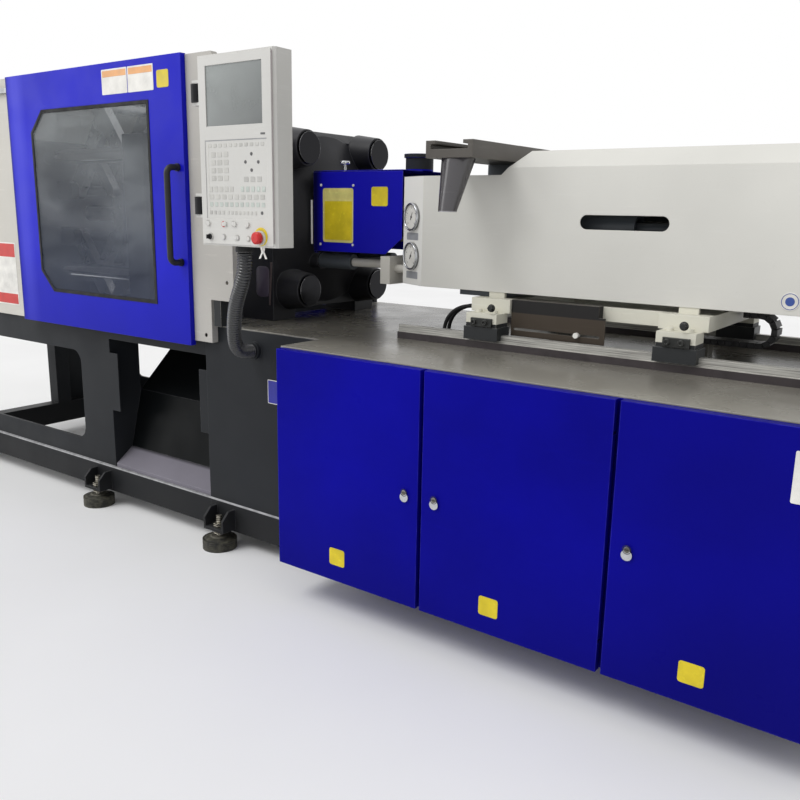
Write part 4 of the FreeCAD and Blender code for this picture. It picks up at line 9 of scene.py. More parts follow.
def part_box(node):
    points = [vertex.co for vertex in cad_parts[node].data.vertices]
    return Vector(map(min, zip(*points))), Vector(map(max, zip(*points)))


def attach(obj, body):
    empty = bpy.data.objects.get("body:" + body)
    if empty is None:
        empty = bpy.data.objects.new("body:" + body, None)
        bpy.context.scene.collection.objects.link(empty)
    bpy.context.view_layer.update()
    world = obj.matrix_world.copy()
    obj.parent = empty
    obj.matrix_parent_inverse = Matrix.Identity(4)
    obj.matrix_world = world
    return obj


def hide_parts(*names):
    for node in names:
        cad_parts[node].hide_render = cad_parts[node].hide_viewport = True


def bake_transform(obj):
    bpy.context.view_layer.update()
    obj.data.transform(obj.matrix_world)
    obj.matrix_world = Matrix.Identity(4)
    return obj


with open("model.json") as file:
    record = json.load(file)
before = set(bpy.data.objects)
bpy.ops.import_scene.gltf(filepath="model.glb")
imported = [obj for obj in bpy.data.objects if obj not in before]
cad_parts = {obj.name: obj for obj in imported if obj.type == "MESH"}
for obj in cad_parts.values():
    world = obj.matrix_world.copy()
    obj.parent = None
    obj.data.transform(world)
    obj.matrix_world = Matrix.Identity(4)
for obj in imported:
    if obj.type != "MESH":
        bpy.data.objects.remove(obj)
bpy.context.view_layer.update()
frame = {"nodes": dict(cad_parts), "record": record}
scene = bpy.context.scene
nodes = frame["nodes"]


# ---------------------------------------------------------------- camera
def axis_camera(place, yaw, pitch, roll, lens):
    """Camera at a place; yaw turns it from +Y towards -X, pitch tips it down, roll turns the picture."""
    yaw, pitch, roll = (math.radians(a) for a in (yaw, pitch, roll))
    forward = Vector((-math.sin(yaw) * math.cos(pitch), math.cos(yaw) * math.cos(pitch), -math.sin(pitch)))
    level = Vector((math.cos(yaw), math.sin(yaw), 0))
    steep = forward.cross(level)
    right = level * math.cos(roll) + steep * math.sin(roll)
    down = steep * math.cos(roll) - level * math.sin(roll)
    data = bpy.data.cameras.new("camera")
    data.lens = lens
    data.clip_start, data.clip_end = 0.05, 100
    camera = bpy.data.objects.new("camera", data)
    turn = Matrix((right, -down, -forward)).transposed()
    camera.matrix_world = Matrix.Translation(place) @ turn.to_4x4()
    scene.collection.objects.link(camera)
    return camera


CAMERA_PLACE = (2.55, -2.665, 1.375)
CAMERA_YAW, CAMERA_PITCH, CAMERA_ROLL = 35.91, 12.80, -1.01
CAMERA_LENS = 37.52
scene.camera = axis_camera(CAMERA_PLACE, CAMERA_YAW, CAMERA_PITCH, CAMERA_ROLL, CAMERA_LENS)


# ---------------------------------------------------------------- materials
def linear(*rgb):
    """Linear colour of an sRGB colour in 0 to 255."""
    def channel(c):
        c /= 255
        return c / 12.92 if c <= 0.04045 else ((c + 0.055) / 1.055) ** 2.4
    return (*map(channel, rgb), 1)


class Nodes:
    """A node material that is built up layer by layer."""

    def __init__(self, name):
        self.material = bpy.data.materials.new(name)
        self.material.use_nodes = True
        self.tree = self.material.node_tree
        self.shader = self.tree.nodes["Principled BSDF"]
        self.place = self.add("TexCoord").outputs["Object"]
        self.depth = 0

    def add(self, kind, **settings):
        node = self.tree.nodes.new("ShaderNode" + kind)
        for key, value in settings.items():
            setattr(node, key, value)
        return node

    def link(self, output, node, name):
        self.tree.links.new(output, node.inputs[name])

    def noise(self, scale, detail=3, stretch=None, rough=0.5):
        node = self.add("TexNoise")
        node.inputs["Scale"].default_value = scale
        node.inputs["Detail"].default_value = detail
        node.inputs["Roughness"].default_value = rough
        source = self.place
        if stretch:
            mapping = self.add("Mapping")
            mapping.inputs["Scale"].default_value = stretch
            self.link(source, mapping, "Vector")
            source = mapping.outputs[0]
        self.link(source, node, "Vector")
        return node.outputs["Fac"]

    def remap(self, value, low, high, to_low=0, to_high=1):
        node = self.add("MapRange", clamp=True)
        self.link(value, node, "Value")
        for key, number in zip(("From Min", "From Max", "To Min", "To Max"), (low, high, to_low, to_high)):
            node.inputs[key].default_value = number
        return node.outputs[0]

    def math(self, kind, a, b):
        node = self.add("Math", operation=kind)
        for i, value in enumerate((a, b)):
            if isinstance(value, (int, float)):
                node.inputs[i].default_value = value
            else:
                self.tree.links.new(value, node.inputs[i])
        return node.outputs[0]

    def axis(self, letter):
        node = self.add("SeparateXYZ")
        self.link(self.place, node, "Vector")
        return node.outputs[letter]

    def facing(self, letter):
        """Component of the surface's normal along an axis."""
        node = self.add("SeparateXYZ")
        self.link(self.add("NewGeometry").outputs["Normal"], node, "Vector")
        return node.outputs[letter]

    def between(self, letter, low, high, soft=0.001):
        """1 where the coordinate is between low and high."""
        rise = self.remap(self.axis(letter), low - soft, low)
        fall = self.remap(self.axis(letter), high, high + soft, 1, 0)
        return self.math("MULTIPLY", rise, fall)

    def mix(self, factor, a, b):
        node = self.add("Mix", data_type="RGBA", clamp_factor=True)
        if isinstance(factor, (int, float)):
            node.inputs[0].default_value = factor
        else:
            self.tree.links.new(factor, node.inputs[0])
        for i, value in ((6, a), (7, b)):
            if isinstance(value, tuple):
                node.inputs[i].default_value = value
            else:
                self.tree.links.new(value, node.inputs[i])
        return node.outputs[2]

    def bump(self, height, strength, distance, normal=None):
        node = self.add("Bump")
        node.inputs["Strength"].default_value = strength
        node.inputs["Distance"].default_value = distance
        self.link(height, node, "Height")
        if normal:
            self.link(normal, node, "Normal")
        return node.outputs[0]

    def edge(self, radius):
        """Rounded normal, and how much it leaves the flat one, which is 1 on an edge."""
        bevel = self.add("Bevel", samples=4)
        bevel.inputs["Radius"].default_value = radius
        dot = self.add("VectorMath", operation="DOT_PRODUCT")
        self.tree.links.new(bevel.outputs[0], dot.inputs[0])
        self.tree.links.new(self.add("NewGeometry").outputs["Normal"], dot.inputs[1])
        return bevel.outputs[0], self.remap(dot.outputs["Value"], 0.80, 0.99, 1, 0)

    def end(self, colour, rough, metal=0.0, specular=0.5, normal=None):
        if isinstance(colour, tuple):
            self.shader.inputs["Base Color"].default_value = colour
        else:
            self.link(colour, self.shader, "Base Color")
        if isinstance(rough, (int, float)):
            self.shader.inputs["Roughness"].default_value = rough
        else:
            self.link(rough, self.shader, "Roughness")
        self.shader.inputs["Metallic"].default_value = metal
        self.shader.inputs["Specular IOR Level"].default_value = specular
        if normal:
            self.link(normal, self.shader, "Normal")
        return self.material


def shade(colour, factor):
    return (*(min(1, c * factor) for c in colour[:3]), 1)


def paint(name, colour, rough=0.4, specular=0.25, peel=0.1, peel_scale=260, lit_worn_edge_colour=None,
          edge_radius=0.003, dust=0.0, dust_colour=(150, 148, 142), scratches=0.15, spread=(0.82, 1.12),
          layers=()):
    """Sprayed paint: tone drifts over the sheet, orange peel, edges lightened as a painted highlight with
    wear, rubbed marks and dust on top.
    """
    m = Nodes(name)
    tone = m.mix(m.remap(m.noise(1.7, 4), 0.3, 0.7), shade(colour, spread[0]), shade(colour, spread[1]))
    streaks = m.remap(m.noise(14, 5, (0.6, 0.6, 6)), 0.60, 0.75, 0, scratches)
    tone = m.mix(streaks, tone, shade(colour, 1.9))
    specks = m.remap(m.noise(90, 2), 0.66, 0.72, 0, scratches * 0.8)
    tone = m.mix(specks, tone, shade(colour, 0.45))
    for other_tone, factor in layers:
        tone = m.mix(factor(m), tone, other_tone)
    if dust:
        lying = m.remap(m.facing("Z"), 0.5, 0.95)
        patchy = m.remap(m.noise(9, 5), 0.3, 0.7, dust * 0.6, dust)
        tone = m.mix(m.math("MULTIPLY", lying, patchy), tone, linear(*dust_colour))
    normal, on_edge = m.edge(edge_radius)
    # Lighter edges: a painted highlight along the edges, patchy like wear.
    if lit_worn_edge_colour:
        lit_worn_edge = m.math("MULTIPLY", on_edge, m.remap(m.noise(22, 4), 0.35, 0.65, 0.25, 0.9))
        tone = m.mix(lit_worn_edge, tone, lit_worn_edge_colour)
    roughness = m.remap(m.noise(6, 4), 0.3, 0.7, rough * 0.8, min(1, rough * 1.25))
    normal = m.bump(m.noise(peel_scale, 2), peel, 0.0008, normal)
    return m.end(tone, roughness, 0, specular, normal)


def metal(name, colour, rough=0.3, brushed=(1, 1, 1), spread=(0.8, 1.1), dirt=0.25, lit_worn_edge_colour=None,
          metallic=1.0, layers=()):
    """Bare or plated metal with drawn marks and dull patches."""
    m = Nodes(name)
    tone = m.mix(m.remap(m.noise(12, 4), 0.3, 0.7), shade(colour, spread[0]), shade(colour, spread[1]))
    drawn = m.noise(160, 3, brushed)
    tone = m.mix(m.remap(drawn, 0.35, 0.65, 0, 0.25), tone, shade(colour, 0.7))
    tone = m.mix(m.remap(m.noise(30, 5), 0.55, 0.75, 0, dirt), tone, shade(colour, 0.35))
    for other_tone, factor in layers:
        tone = m.mix(factor(m), tone, other_tone)
    normal, on_edge = m.edge(0.0015)
    # Lighter edges: a painted highlight along the edges, together with wear.
    if lit_worn_edge_colour:
        tone = m.mix(m.math("MULTIPLY", on_edge, 0.7), tone, lit_worn_edge_colour)
    roughness = m.remap(m.noise(25, 4), 0.3, 0.7, rough * 0.7, min(1, rough * 1.4))
    return m.end(tone, roughness, metallic, 0.5, m.bump(drawn, 0.08, 0.0005, normal))


def plastic(name, colour, rough=0.45, specular=0.4, grain=0.12, grain_scale=900, spread=(0.85, 1.1)):
    """Moulded plastic or rubber with a fine grain and handling marks."""
    m = Nodes(name)
    tone = m.mix(m.remap(m.noise(20, 4), 0.3, 0.7), shade(colour, spread[0]), shade(colour, spread[1]))
    tone = m.mix(m.remap(m.noise(70, 5), 0.6, 0.75, 0, 0.3), tone, shade(colour, 1.8))
    normal = m.edge(0.0012)[0]
    roughness = m.remap(m.noise(40, 4), 0.3, 0.7, rough * 0.8, min(1, rough * 1.25))
    return m.end(tone, roughness, 0, specular, m.bump(m.noise(grain_scale, 2), grain, 0.0004, normal))


def lit_worn_lip(m):
    """Top edge of the bed's lower front beam: a painted highlight, patchy like rubbed paint."""
    line = m.math("MULTIPLY", m.between("Z", 0.1825, 0.1905), m.between("Y", -0.4355, -0.424))
    return m.math("MULTIPLY", line, m.remap(m.noise(30, 4), 0.3, 0.6, 0.6, 1.0))


def low_grime(m):
    """Dust and scuffs near the floor."""
    return m.math("MULTIPLY", m.remap(m.axis("Z"), 0.05, 0.30, 0.30, 0.0), m.remap(m.noise(5, 5), 0.3, 0.7))


def rounded_shine(m):
    """Light that the rounded left edge of the front guard catches."""
    rise = m.remap(m.axis("X"), -1.262, -1.225)
    return m.math("MULTIPLY", rise, m.remap(m.axis("X"), -1.13, -1.19, 0, 0.4))


def post_foot(m):
    """Lower right corner of the front post, painted like the bed."""
    return m.math("MULTIPLY", m.remap(m.axis("X"), 0.0405, 0.0415), m.remap(m.axis("Z"), 1.0225, 1.0215))


def ground_top(m):
    """Ground top of a rail, with marks along it."""
    top = m.remap(m.axis("Z"), 0.9435, 0.9445)
    return m.math("MULTIPLY", top, m.remap(m.noise(60, 3, (0.1, 6, 10)), 0.35, 0.6, 0.25, 0.9))


def beyond(letter, start, end, share=1.0):
    """Layer that grows to its share from a start to an end along an axis."""
    return lambda m: m.remap(m.axis(letter), start, end, 0, share)


DOOR_BLUE = linear(9, 7, 144)
SHADED_DOOR_BLUE = linear(10, 8, 100)
GUARD_BLUE = linear(24, 26, 184)
BED_GREY = linear(39, 41, 44)
CREAM = linear(205, 202, 194)
COVER = linear(214, 213, 207)
STEEL = linear(150, 151, 152)

bed_paint = paint("bed_paint", BED_GREY, 0.45, 0.12, 0.15, 220, linear(92, 94, 96), 0.003, 0.3,
                  (84, 85, 86), 0.08, (0.85, 1.15),
                  # Painted light in these layers: the first is painted shade towards the beam's lower edge,
                  # the second a painted highlight on its lip.
                  ((linear(30, 31, 33), beyond("Z", 0.215, 0.175, 0.7)), (linear(182, 182, 184), lit_worn_lip),
                   (linear(56, 54, 52), low_grime)))
# The layer is painted shade: the chute very dark above its bright lower fold.
chute_paint = paint("chute_paint", linear(122, 119, 128), 0.4, 0.06, 0.08, 200, linear(176, 174, 180), 0.003,
                    0.0, (90, 90, 90), 0.04, (0.8, 1.2), ((linear(12, 14, 15), beyond("Z", 0.262, 0.272)),))
top_paint = paint("top_paint", linear(112, 109, 102), 0.26, 0.4, 0.06, 120, linear(196, 194, 186), 0.004,
                  0.2, (140, 136, 126), 0.2, (0.75, 1.15),
                  ((linear(158, 155, 146), beyond("Y", -0.36, -0.62, 0.7)),))
# Both layers are painted shade: the doors darker towards the floor and towards their right end.
cabinet_blue = paint("cabinet_blue", DOOR_BLUE, 0.34, 0.045, 0.22, 230, linear(70, 68, 205), 0.0035,
                     0.0, (90, 90, 120), 0.04, (0.72, 1.15),
                     ((SHADED_DOOR_BLUE, beyond("Z", 0.55, 0.15, 0.6)), (SHADED_DOOR_BLUE, beyond("X", 1.5, 2.4, 0.6))))
guard_blue = paint("guard_blue", GUARD_BLUE, 0.36, 0.07, 0.22, 230, linear(100, 98, 226), 0.0035,
                   0.0, (90, 90, 120), 0.05, (0.85, 1.15))
# The dark band at the left edge and the darker lower part are painted shade.
front_guard_blue = paint("front_guard_blue", GUARD_BLUE, 0.36, 0.10, 0.22, 230, linear(100, 98, 226), 0.0035,
                         0.0, (90, 90, 120), 0.06, (0.85, 1.2),
                         ((linear(84, 86, 222), rounded_shine),
                          (linear(12, 10, 96), beyond("X", -1.258, -1.276, 0.8)),
                          (linear(16, 18, 150), beyond("Z", 1.15, 0.84, 0.5))))
# The dark first layer is painted shade along the hood's left edge.
hood_blue = paint("hood_blue", linear(20, 18, 158), 0.36, 0.06, 0.22, 230, linear(96, 94, 220), 0.0035,
                  0.0, (90, 90, 120), 0.05, (0.85, 1.15),
                  ((linear(14, 12, 46), beyond("X", 0.266, 0.232, 0.9)),
                   (linear(52, 54, 56), beyond("Z", 1.530, 1.532))))
rear_guard_blue = paint("rear_guard_blue", GUARD_BLUE, 0.36, 0.07, 0.22, 230, None, 0.0035,
                        0.0, (90, 90, 120), 0.05, (0.85, 1.15),
                        ((linear(34, 35, 38), beyond("Z", 1.022, 1.018)),))
cream_paint = paint("cream_paint", CREAM, 0.5, 0.2, 0.2, 420, linear(232, 229, 220), 0.003, 0.25,
                    (150, 144, 128), 0.10, (0.9, 1.04))
# A lighter copy of the cream: painted light on the unit in the cover's shade.
lit_unit_cream = paint("lit_unit_cream", linear(222, 220, 206), 0.5, 0.25, 0.2, 420, linear(238, 236, 226), 0.003,
                   0.25, (150, 144, 128), 0.12, (0.88, 1.04),
                   ((linear(40, 41, 43), beyond("Z", 1.0085, 1.0080)),))
# The layer is a painted highlight: faces turned towards -X are lighter.
cover_white = paint("cover_white", COVER, 0.48, 0.3, 0.22, 420, linear(240, 238, 232), 0.003, 0.0,
                    (160, 155, 145), 0.05, (0.92, 1.04),
                    ((linear(238, 237, 233), lambda m: m.remap(m.facing("X"), -0.2, -0.4, 0, 0.7)),))
panel_grey = paint("panel_grey", linear(204, 203, 199), 0.5, 0.3, 0.3, 520, linear(232, 230, 224), 0.002, 0.0,
                   (160, 155, 145), 0.06, (0.9, 1.05))
case_grey = paint("case_grey", linear(204, 203, 199), 0.5, 0.3, 0.3, 520, linear(236, 234, 230), 0.003, 0.0,
                  (160, 155, 145), 0.06, (0.9, 1.05), ((linear(24, 24, 25), beyond("Z", 1.2478, 1.2472)),))
hinge_grey = paint("hinge_grey", CREAM, 0.5, 0.2, 0.2, 420, linear(214, 210, 204), 0.002, 0.0,
                   (160, 155, 145), 0.06, (0.9, 1.05), ((linear(28, 28, 30), beyond("Y", -0.640, -0.641)),))
# A darker copy of the cream: painted shade on the guard posts.
shaded_post_cream = paint("shaded_post_cream", linear(186, 183, 177), 0.5, 0.2, 0.2, 420, linear(226, 223, 215), 0.003,
                   0.25, (150, 144, 128), 0.12, (0.86, 1.06),
                   ((linear(42, 43, 45), post_foot),))
drive_paint = paint("drive_paint", linear(74, 79, 84), 0.42, 0.3, 0.15, 240, linear(128, 132, 136), 0.003,
                    0.45, (128, 130, 130), 0.15)
slide_paint = paint("slide_paint", linear(88, 84, 79), 0.40, 0.3, 0.2, 200, linear(140, 134, 128), 0.004,
                    0.35, (140, 134, 126), 0.25, (0.7, 1.25))
tube_paint = paint("tube_paint", linear(58, 55, 59), 0.20, 0.9, 0.05, 200, linear(160, 156, 160), 0.003, 0.0,
                   (120, 120, 120), 0.30, (0.75, 1.25),
                   ((linear(170, 168, 172), beyond("Z", 1.3765, 1.3755, 0.8)),))
casting_paint = paint("casting_paint", linear(38, 38, 41), 0.42, 0.22, 0.5, 90, linear(100, 101, 104), 0.005,
                      0.5, (104, 104, 106), 0.15)
pad_paint = paint("pad_paint", linear(88, 80, 94), 0.4, 0.3, 0.4, 120, linear(140, 134, 144), 0.003, 0.3,
                  (120, 116, 120), 0.2, (0.75, 1.2))
ridge_paint = paint("ridge_paint", linear(84, 72, 72), 0.4, 0.3, 0.4, 120, linear(140, 128, 126), 0.002, 0.3,
                    (120, 116, 116), 0.2, (0.75, 1.2))
carriage_paint = paint("carriage_paint", linear(42, 44, 46), 0.4, 0.3, 0.3, 180, linear(112, 116, 120), 0.003,
                       0.4, (112, 112, 110), 0.2)
plate_paint = paint("plate_paint", linear(72, 64, 56), 0.45, 0.15, 0.1, 240, linear(150, 144, 134), 0.002,
                    0.4, (150, 146, 138), 0.15, (0.8, 1.15),
                    ((linear(42, 41, 41), beyond("Z", 1.0455, 1.0465)),))

chrome = metal("chrome", linear(205, 207, 210), 0.16, (1, 1, 1), (0.85, 1.08), 0.15, linear(240, 240, 242))
bar_chrome = metal("bar_chrome", linear(215, 217, 220), 0.14, (1, 6, 6), (0.85, 1.08), 0.12,
                   linear(240, 240, 242), 1.0, ((linear(40, 40, 42), beyond("X", -0.072, -0.068)),))
rail_steel = metal("rail_steel", linear(66, 60, 62), 0.4, (1, 6, 6), (0.8, 1.15), 0.35,
                   linear(150, 146, 140), 0.35, ((linear(206, 205, 198), ground_top),))
link_steel = metal("link_steel", STEEL, 0.32, (1, 1, 6), (0.75, 1.1), 0.35, linear(200, 200, 202))
band_sheet = metal("band_sheet", linear(150, 138, 118), 0.35, (1, 6, 6), (0.7, 1.1), 0.5,
                   linear(190, 180, 160))
bolt_steel = metal("bolt_steel", linear(120, 118, 110), 0.35, (1, 1, 1), (0.6, 1.2), 0.5,
                   linear(190, 188, 180))
black_bolt = metal("black_bolt", linear(48, 49, 48), 0.4, (1, 1, 1), (0.7, 1.4), 0.4,
                   linear(130, 130, 126), 0.6)

rubber = plastic("rubber", linear(24, 24, 25), 0.65, 0.3, 0.3, 500)
black_plastic = plastic("black_plastic", linear(28, 28, 30), 0.45, 0.4)
hose_plastic = plastic("hose_plastic", linear(40, 41, 43), 0.28, 0.7, 0.1, 500, (0.75, 1.4))
red_plastic = plastic("red_plastic", linear(196, 24, 26), 0.3, 0.5, 0.05)
white_plastic = plastic("white_plastic", linear(226, 225, 220), 0.4, 0.4, 0.05)
yellow_plastic = plastic("yellow_plastic", linear(222, 196, 40), 0.4, 0.4, 0.05)
grey_key = plastic("grey_key", linear(96, 96, 96), 0.5, 0.3, 0.08)
pale_key = plastic("pale_key", linear(182, 181, 177), 0.5, 0.3, 0.08)
faint_key = plastic("faint_key", linear(192, 191, 186), 0.5, 0.3, 0.08)
green_key = plastic("green_key", linear(186, 193, 187), 0.5, 0.3, 0.08)
cap_white = plastic("cap_white", linear(210, 209, 205), 0.5, 0.25, 0.08)
seam_grey = plastic("seam_grey", linear(138, 129, 130), 0.5, 0.3, 0.08)
plate_white = plastic("plate_white", linear(226, 224, 218), 0.35, 0.4, 0.04, 300)
plate_grey = plastic("plate_grey", linear(150, 152, 156), 0.35, 0.4, 0.04, 300)
plate_orange = plastic("plate_orange", linear(226, 164, 104), 0.35, 0.4, 0.04, 300)
plate_yellow = plastic("plate_yellow", linear(214, 192, 34), 0.35, 0.4, 0.04, 300)
plate_pale_yellow = plastic("plate_pale_yellow", linear(218, 208, 128), 0.35, 0.4, 0.04, 300)
plate_red = plastic("plate_red", linear(196, 48, 44), 0.35, 0.4, 0.04, 300)
plate_dark = plastic("plate_dark", linear(26, 25, 26), 0.4, 0.4, 0.04, 300)
plate_round_blue = plastic("plate_round_blue", linear(58, 84, 158), 0.35, 0.4, 0.04, 300)
plate_blue = plastic("plate_blue", linear(40, 44, 150), 0.35, 0.4, 0.04, 300)


def pane_material():
    """Clear safety pane with a faint haze, darker towards its lower edge, and wiping marks."""
    m = Nodes("guard_pane")
    haze = m.noise(3, 5, (1, 1, 2.5))
    tone = m.mix(m.remap(haze, 0.3, 0.7), linear(98, 104, 108), linear(150, 156, 158))
    tone = m.mix(m.remap(m.axis("Z"), 1.75, 1.00, 0, 0.8), tone, linear(52, 62, 92))
    m.link(m.remap(haze, 0.3, 0.7, 0.26, 0.44), m.shader, "Alpha")
    return m.end(tone, m.remap(m.noise(9, 4), 0.3, 0.7, 0.04, 0.16), 0, 0.22)


def screen_material():
    """Dull screen with painted light on it: lighter at the upper left, darker towards the lower right."""
    m = Nodes("screen_face")
    across = m.remap(m.axis("X"), 0.295, 0.558, 0, 0.55)
    slope = m.math("ADD", across, m.remap(m.axis("Z"), 1.829, 1.638, 0, 0.45))
    tone = m.mix(slope, linear(134, 140, 138), linear(82, 86, 86))
    tone = m.mix(m.remap(m.noise(9, 4), 0.4, 0.7, 0, 0.35), tone, linear(104, 108, 107))
    return m.end(tone, m.remap(m.noise(18, 3), 0.3, 0.7, 0.18, 0.3), 0, 0.5)


def foot_material():
    """Black ribbed rubber pad with a plated bolt and nuts above it."""
    m = Nodes("foot_rubber")
    pad_top, bolt_foot = 0.050, 0.054
    bolt = m.remap(m.axis("Z"), pad_top, bolt_foot)
    rubber_tone = m.mix(m.remap(m.noise(40, 5), 0.35, 0.7), linear(26, 26, 24), linear(84, 82, 70))
    steel_tone = m.mix(m.remap(m.noise(60, 4), 0.3, 0.7), linear(96, 92, 84), linear(170, 166, 154))
    ribs = m.add("TexWave", wave_type="BANDS", bands_direction="Z")
    ribs.inputs["Scale"].default_value = 38
    m.link(m.place, ribs, "Vector")
    normal = m.bump(ribs.outputs["Fac"], 0.6, 0.003, m.edge(0.002)[0])
    roughness = m.remap(m.axis("Z"), pad_top, bolt_foot, 0.7, 0.4)
    made = m.end(m.mix(bolt, rubber_tone, steel_tone), roughness, 0, 0.4, normal)
    m.link(m.remap(m.axis("Z"), pad_top, bolt_foot, 0, 0.9), m.shader, "Metallic")
    return made


def chain_material():
    """Black plastic of the link chain, with paler handling marks."""
    m = Nodes("chain_plastic")
    tone = m.mix(m.remap(m.noise(60, 4), 0.4, 0.7), linear(24, 24, 26), linear(54, 54, 56))
    return m.end(tone, 0.45, 0, 0.4, m.bump(m.noise(500, 2), 0.1, 0.0004, m.edge(0.0015)[0]))


guard_pane = pane_material()
screen_face = screen_material()
foot_rubber = foot_material()
chain_plastic = chain_material()

FINISHES = {
    "bed_paint": bed_paint, "chute_paint": chute_paint, "top_paint": top_paint, "foot_rubber": foot_rubber,
    "cabinet_blue": cabinet_blue, "guard_blue": guard_blue, "chrome_parts": chrome,
    "drive_paint": drive_paint,
    "casting_paint": casting_paint, "link_steel": link_steel, "cream_paint": cream_paint,
    "cover_white": cover_white, "black_rubber": rubber, "guard_pane": guard_pane,
    "black_plastic": black_plastic, "panel_grey": panel_grey, "screen_face": screen_face,
    "red_plastic": red_plastic, "carriage_paint": carriage_paint, "band_brass": band_sheet,
    "gauge_face": black_plastic, "plate_paint": plate_paint, "white_plastic": white_plastic,
    "hose_plastic": hose_plastic,
}
for part in frame["record"]["subparts"]:
    piece = nodes[part["node"]]
    for holder in piece.material_slots:
        holder.material = FINISHES[part["material_slot"]]
NODE_FINISHES = {
    "cable_chain": chain_plastic, "front_guard": front_guard_blue, "nozzle_guard": hood_blue,
    "nozzle_hood": hood_blue,
    "rear_guard": rear_guard_blue, "unit_base": lit_unit_cream, "controller_case": case_grey,
    "controller_hinges": hinge_grey, "discharge_tube": tube_paint, "hopper_slide_base": slide_paint,
    "hopper_slide": slide_paint, "guard_posts": shaded_post_cream, "tie_bars": bar_chrome, "unit_rails": rail_steel,
}
for name, finish in NODE_FINISHES.items():
    nodes[name].material_slots[0].material = finish


# ---------------------------------------------------------------- shapes
class Shape:
    """Mesh that is collected from bevelled plates and turned profiles, mostly seen from the front."""

    def __init__(self):
        self.mesh = bmesh.new()

    def plate(self, outline, front, back, bevel=0.0005):
        """Flat plate of an outline in X and Z, from a front to a back in Y, with its front edge eased."""
        verts = [self.mesh.verts.new((x, front, z)) for x, z in outline]
        face = self.mesh.faces.new(verts)
        made = bmesh.ops.extrude_face_region(self.mesh, geom=[face])
        moved = [v for v in made["geom"] if isinstance(v, bmesh.types.BMVert)]
        bmesh.ops.translate(self.mesh, verts=moved, vec=(0, back - front, 0))
        if bevel:
            rim = list(face.edges)
            bmesh.ops.bevel(self.mesh, geom=rim, offset=bevel, segments=2, affect="EDGES", profile=0.5)
        return self

    def rect(self, x, z, front, back, bevel=0.0005, corner=0.0):
        (x0, x1), (z0, z1) = x, z
        if not corner:
            return self.plate([(x0, z0), (x1, z0), (x1, z1), (x0, z1)], front, back, bevel)
        outline = []
        for cx, cz, start in ((x1, z0, -90), (x1, z1, 0), (x0, z1, 90), (x0, z0, 180)):
            inner_x = cx - corner if cx == x1 else cx + corner
            inner_z = cz - corner if cz == z1 else cz + corner
            for step in range(5):
                angle = math.radians(start + step * 22.5)
                outline.append((inner_x + corner * math.cos(angle), inner_z + corner * math.sin(angle)))
        return self.plate(outline, front, back, bevel)

    def turned(self, centre, profile, axis="y", sides=24, ring=False):
        """Profile of (radius, distance outwards) turned about an axis. A ring closes on itself."""
        towards = {"y": Vector((0, -1, 0)), "z": Vector((0, 0, 1)), "x": Vector((1, 0, 0))}[axis]
        across = {"y": Vector((1, 0, 0)), "z": Vector((1, 0, 0)), "x": Vector((0, 1, 0))}[axis]
        other = towards.cross(across)
        centre = Vector(centre)
        rings = []
        for radius, distance in profile:
            base = centre + towards * distance
            if radius == 0:
                rings.append([self.mesh.verts.new(base)])
                continue
            angles = [2 * math.pi * i / sides for i in range(sides)]
            rings.append([
                self.mesh.verts.new(base + across * radius * math.cos(a) + other * radius * math.sin(a))
                for a in angles
            ])
        for first, second in zip(rings, rings[1:] + rings[:1] if ring else rings[1:]):
            for i in range(sides):
                j = (i + 1) % sides
                if len(first) == 1:
                    self.mesh.faces.new((first[0], second[i], second[j]))
                elif len(second) == 1:
                    self.mesh.faces.new((first[i], first[j], second[0]))
                else:
                    self.mesh.faces.new((first[i], first[j], second[j], second[i]))
        for end in () if ring else (rings[0], rings[-1]):
            if len(end) > 1:
                self.mesh.faces.new(end)
        return self

    def screw(self, x, y, z, radius=0.005):
        """Round screw head on a face that looks along -Y, with a small socket."""
        r = radius
        return self.turned((x, y, z), [
            (r, -0.0005), (r, 0.3 * r), (0.8 * r, 0.55 * r), (0.45 * r, 0.62 * r), (0.42 * r, 0.25 * r),
            (0, 0.25 * r),
        ], "y", 16)

    def done(self, name, finish, body, slot, smooth=False, place=None):
        """Object on a body; a place turns and moves pieces that were made about the origin."""
        if place:
            self.mesh.transform(place)
        bmesh.ops.recalc_face_normals(self.mesh, faces=self.mesh.faces[:])
        data = bpy.data.meshes.new(name)
        self.mesh.to_mesh(data)
        self.mesh.free()
        data.materials.append(finish)
        for polygon in data.polygons:
            polygon.use_smooth = smooth
        made = bpy.data.objects.new(name, data)
        scene.collection.objects.link(made)
        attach(made, body)
        return made


# ---------------------------------------------------------------- hoses
def smooth_line(name, points):
    """Evenly read points of the smooth spline that has the route's points as its control points."""
    data = bpy.data.curves.new(name, "CURVE")
    data.dimensions = "3D"
    data.resolution_u = 40
    spline = data.splines.new("NURBS")
    spline.points.add(len(points) - 1)
    for target, source in zip(spline.points, points):
        target.co = (*source, 1)
    spline.order_u = 3
    spline.use_endpoint_u = True
    curve = bpy.data.objects.new(name, data)
    scene.collection.objects.link(curve)
    bpy.context.view_layer.update()
    line = bpy.data.meshes.new_from_object(curve.evaluated_get(bpy.context.evaluated_depsgraph_get()))
    read = [v.co.copy() for v in line.vertices]
    bpy.data.objects.remove(curve)
    bpy.data.meshes.remove(line)
    return read


def spaced(line, pitch):
    """Stations at an even pitch along a line of close points, with the whole length."""
    reach = [0.0]
    for a, b in zip(line, line[1:]):
        reach.append(reach[-1] + (b - a).length)
    count = max(2, round(reach[-1] / pitch))
    stations, k = [], 0
    for i in range(count + 1):
        want = reach[-1] * i / count
        while k < len(line) - 2 and reach[k + 1] < want:
            k += 1
        share = (want - reach[k]) / (reach[k + 1] - reach[k])
        stations.append(line[k].lerp(line[k + 1], share))
    return stations, reach[-1]


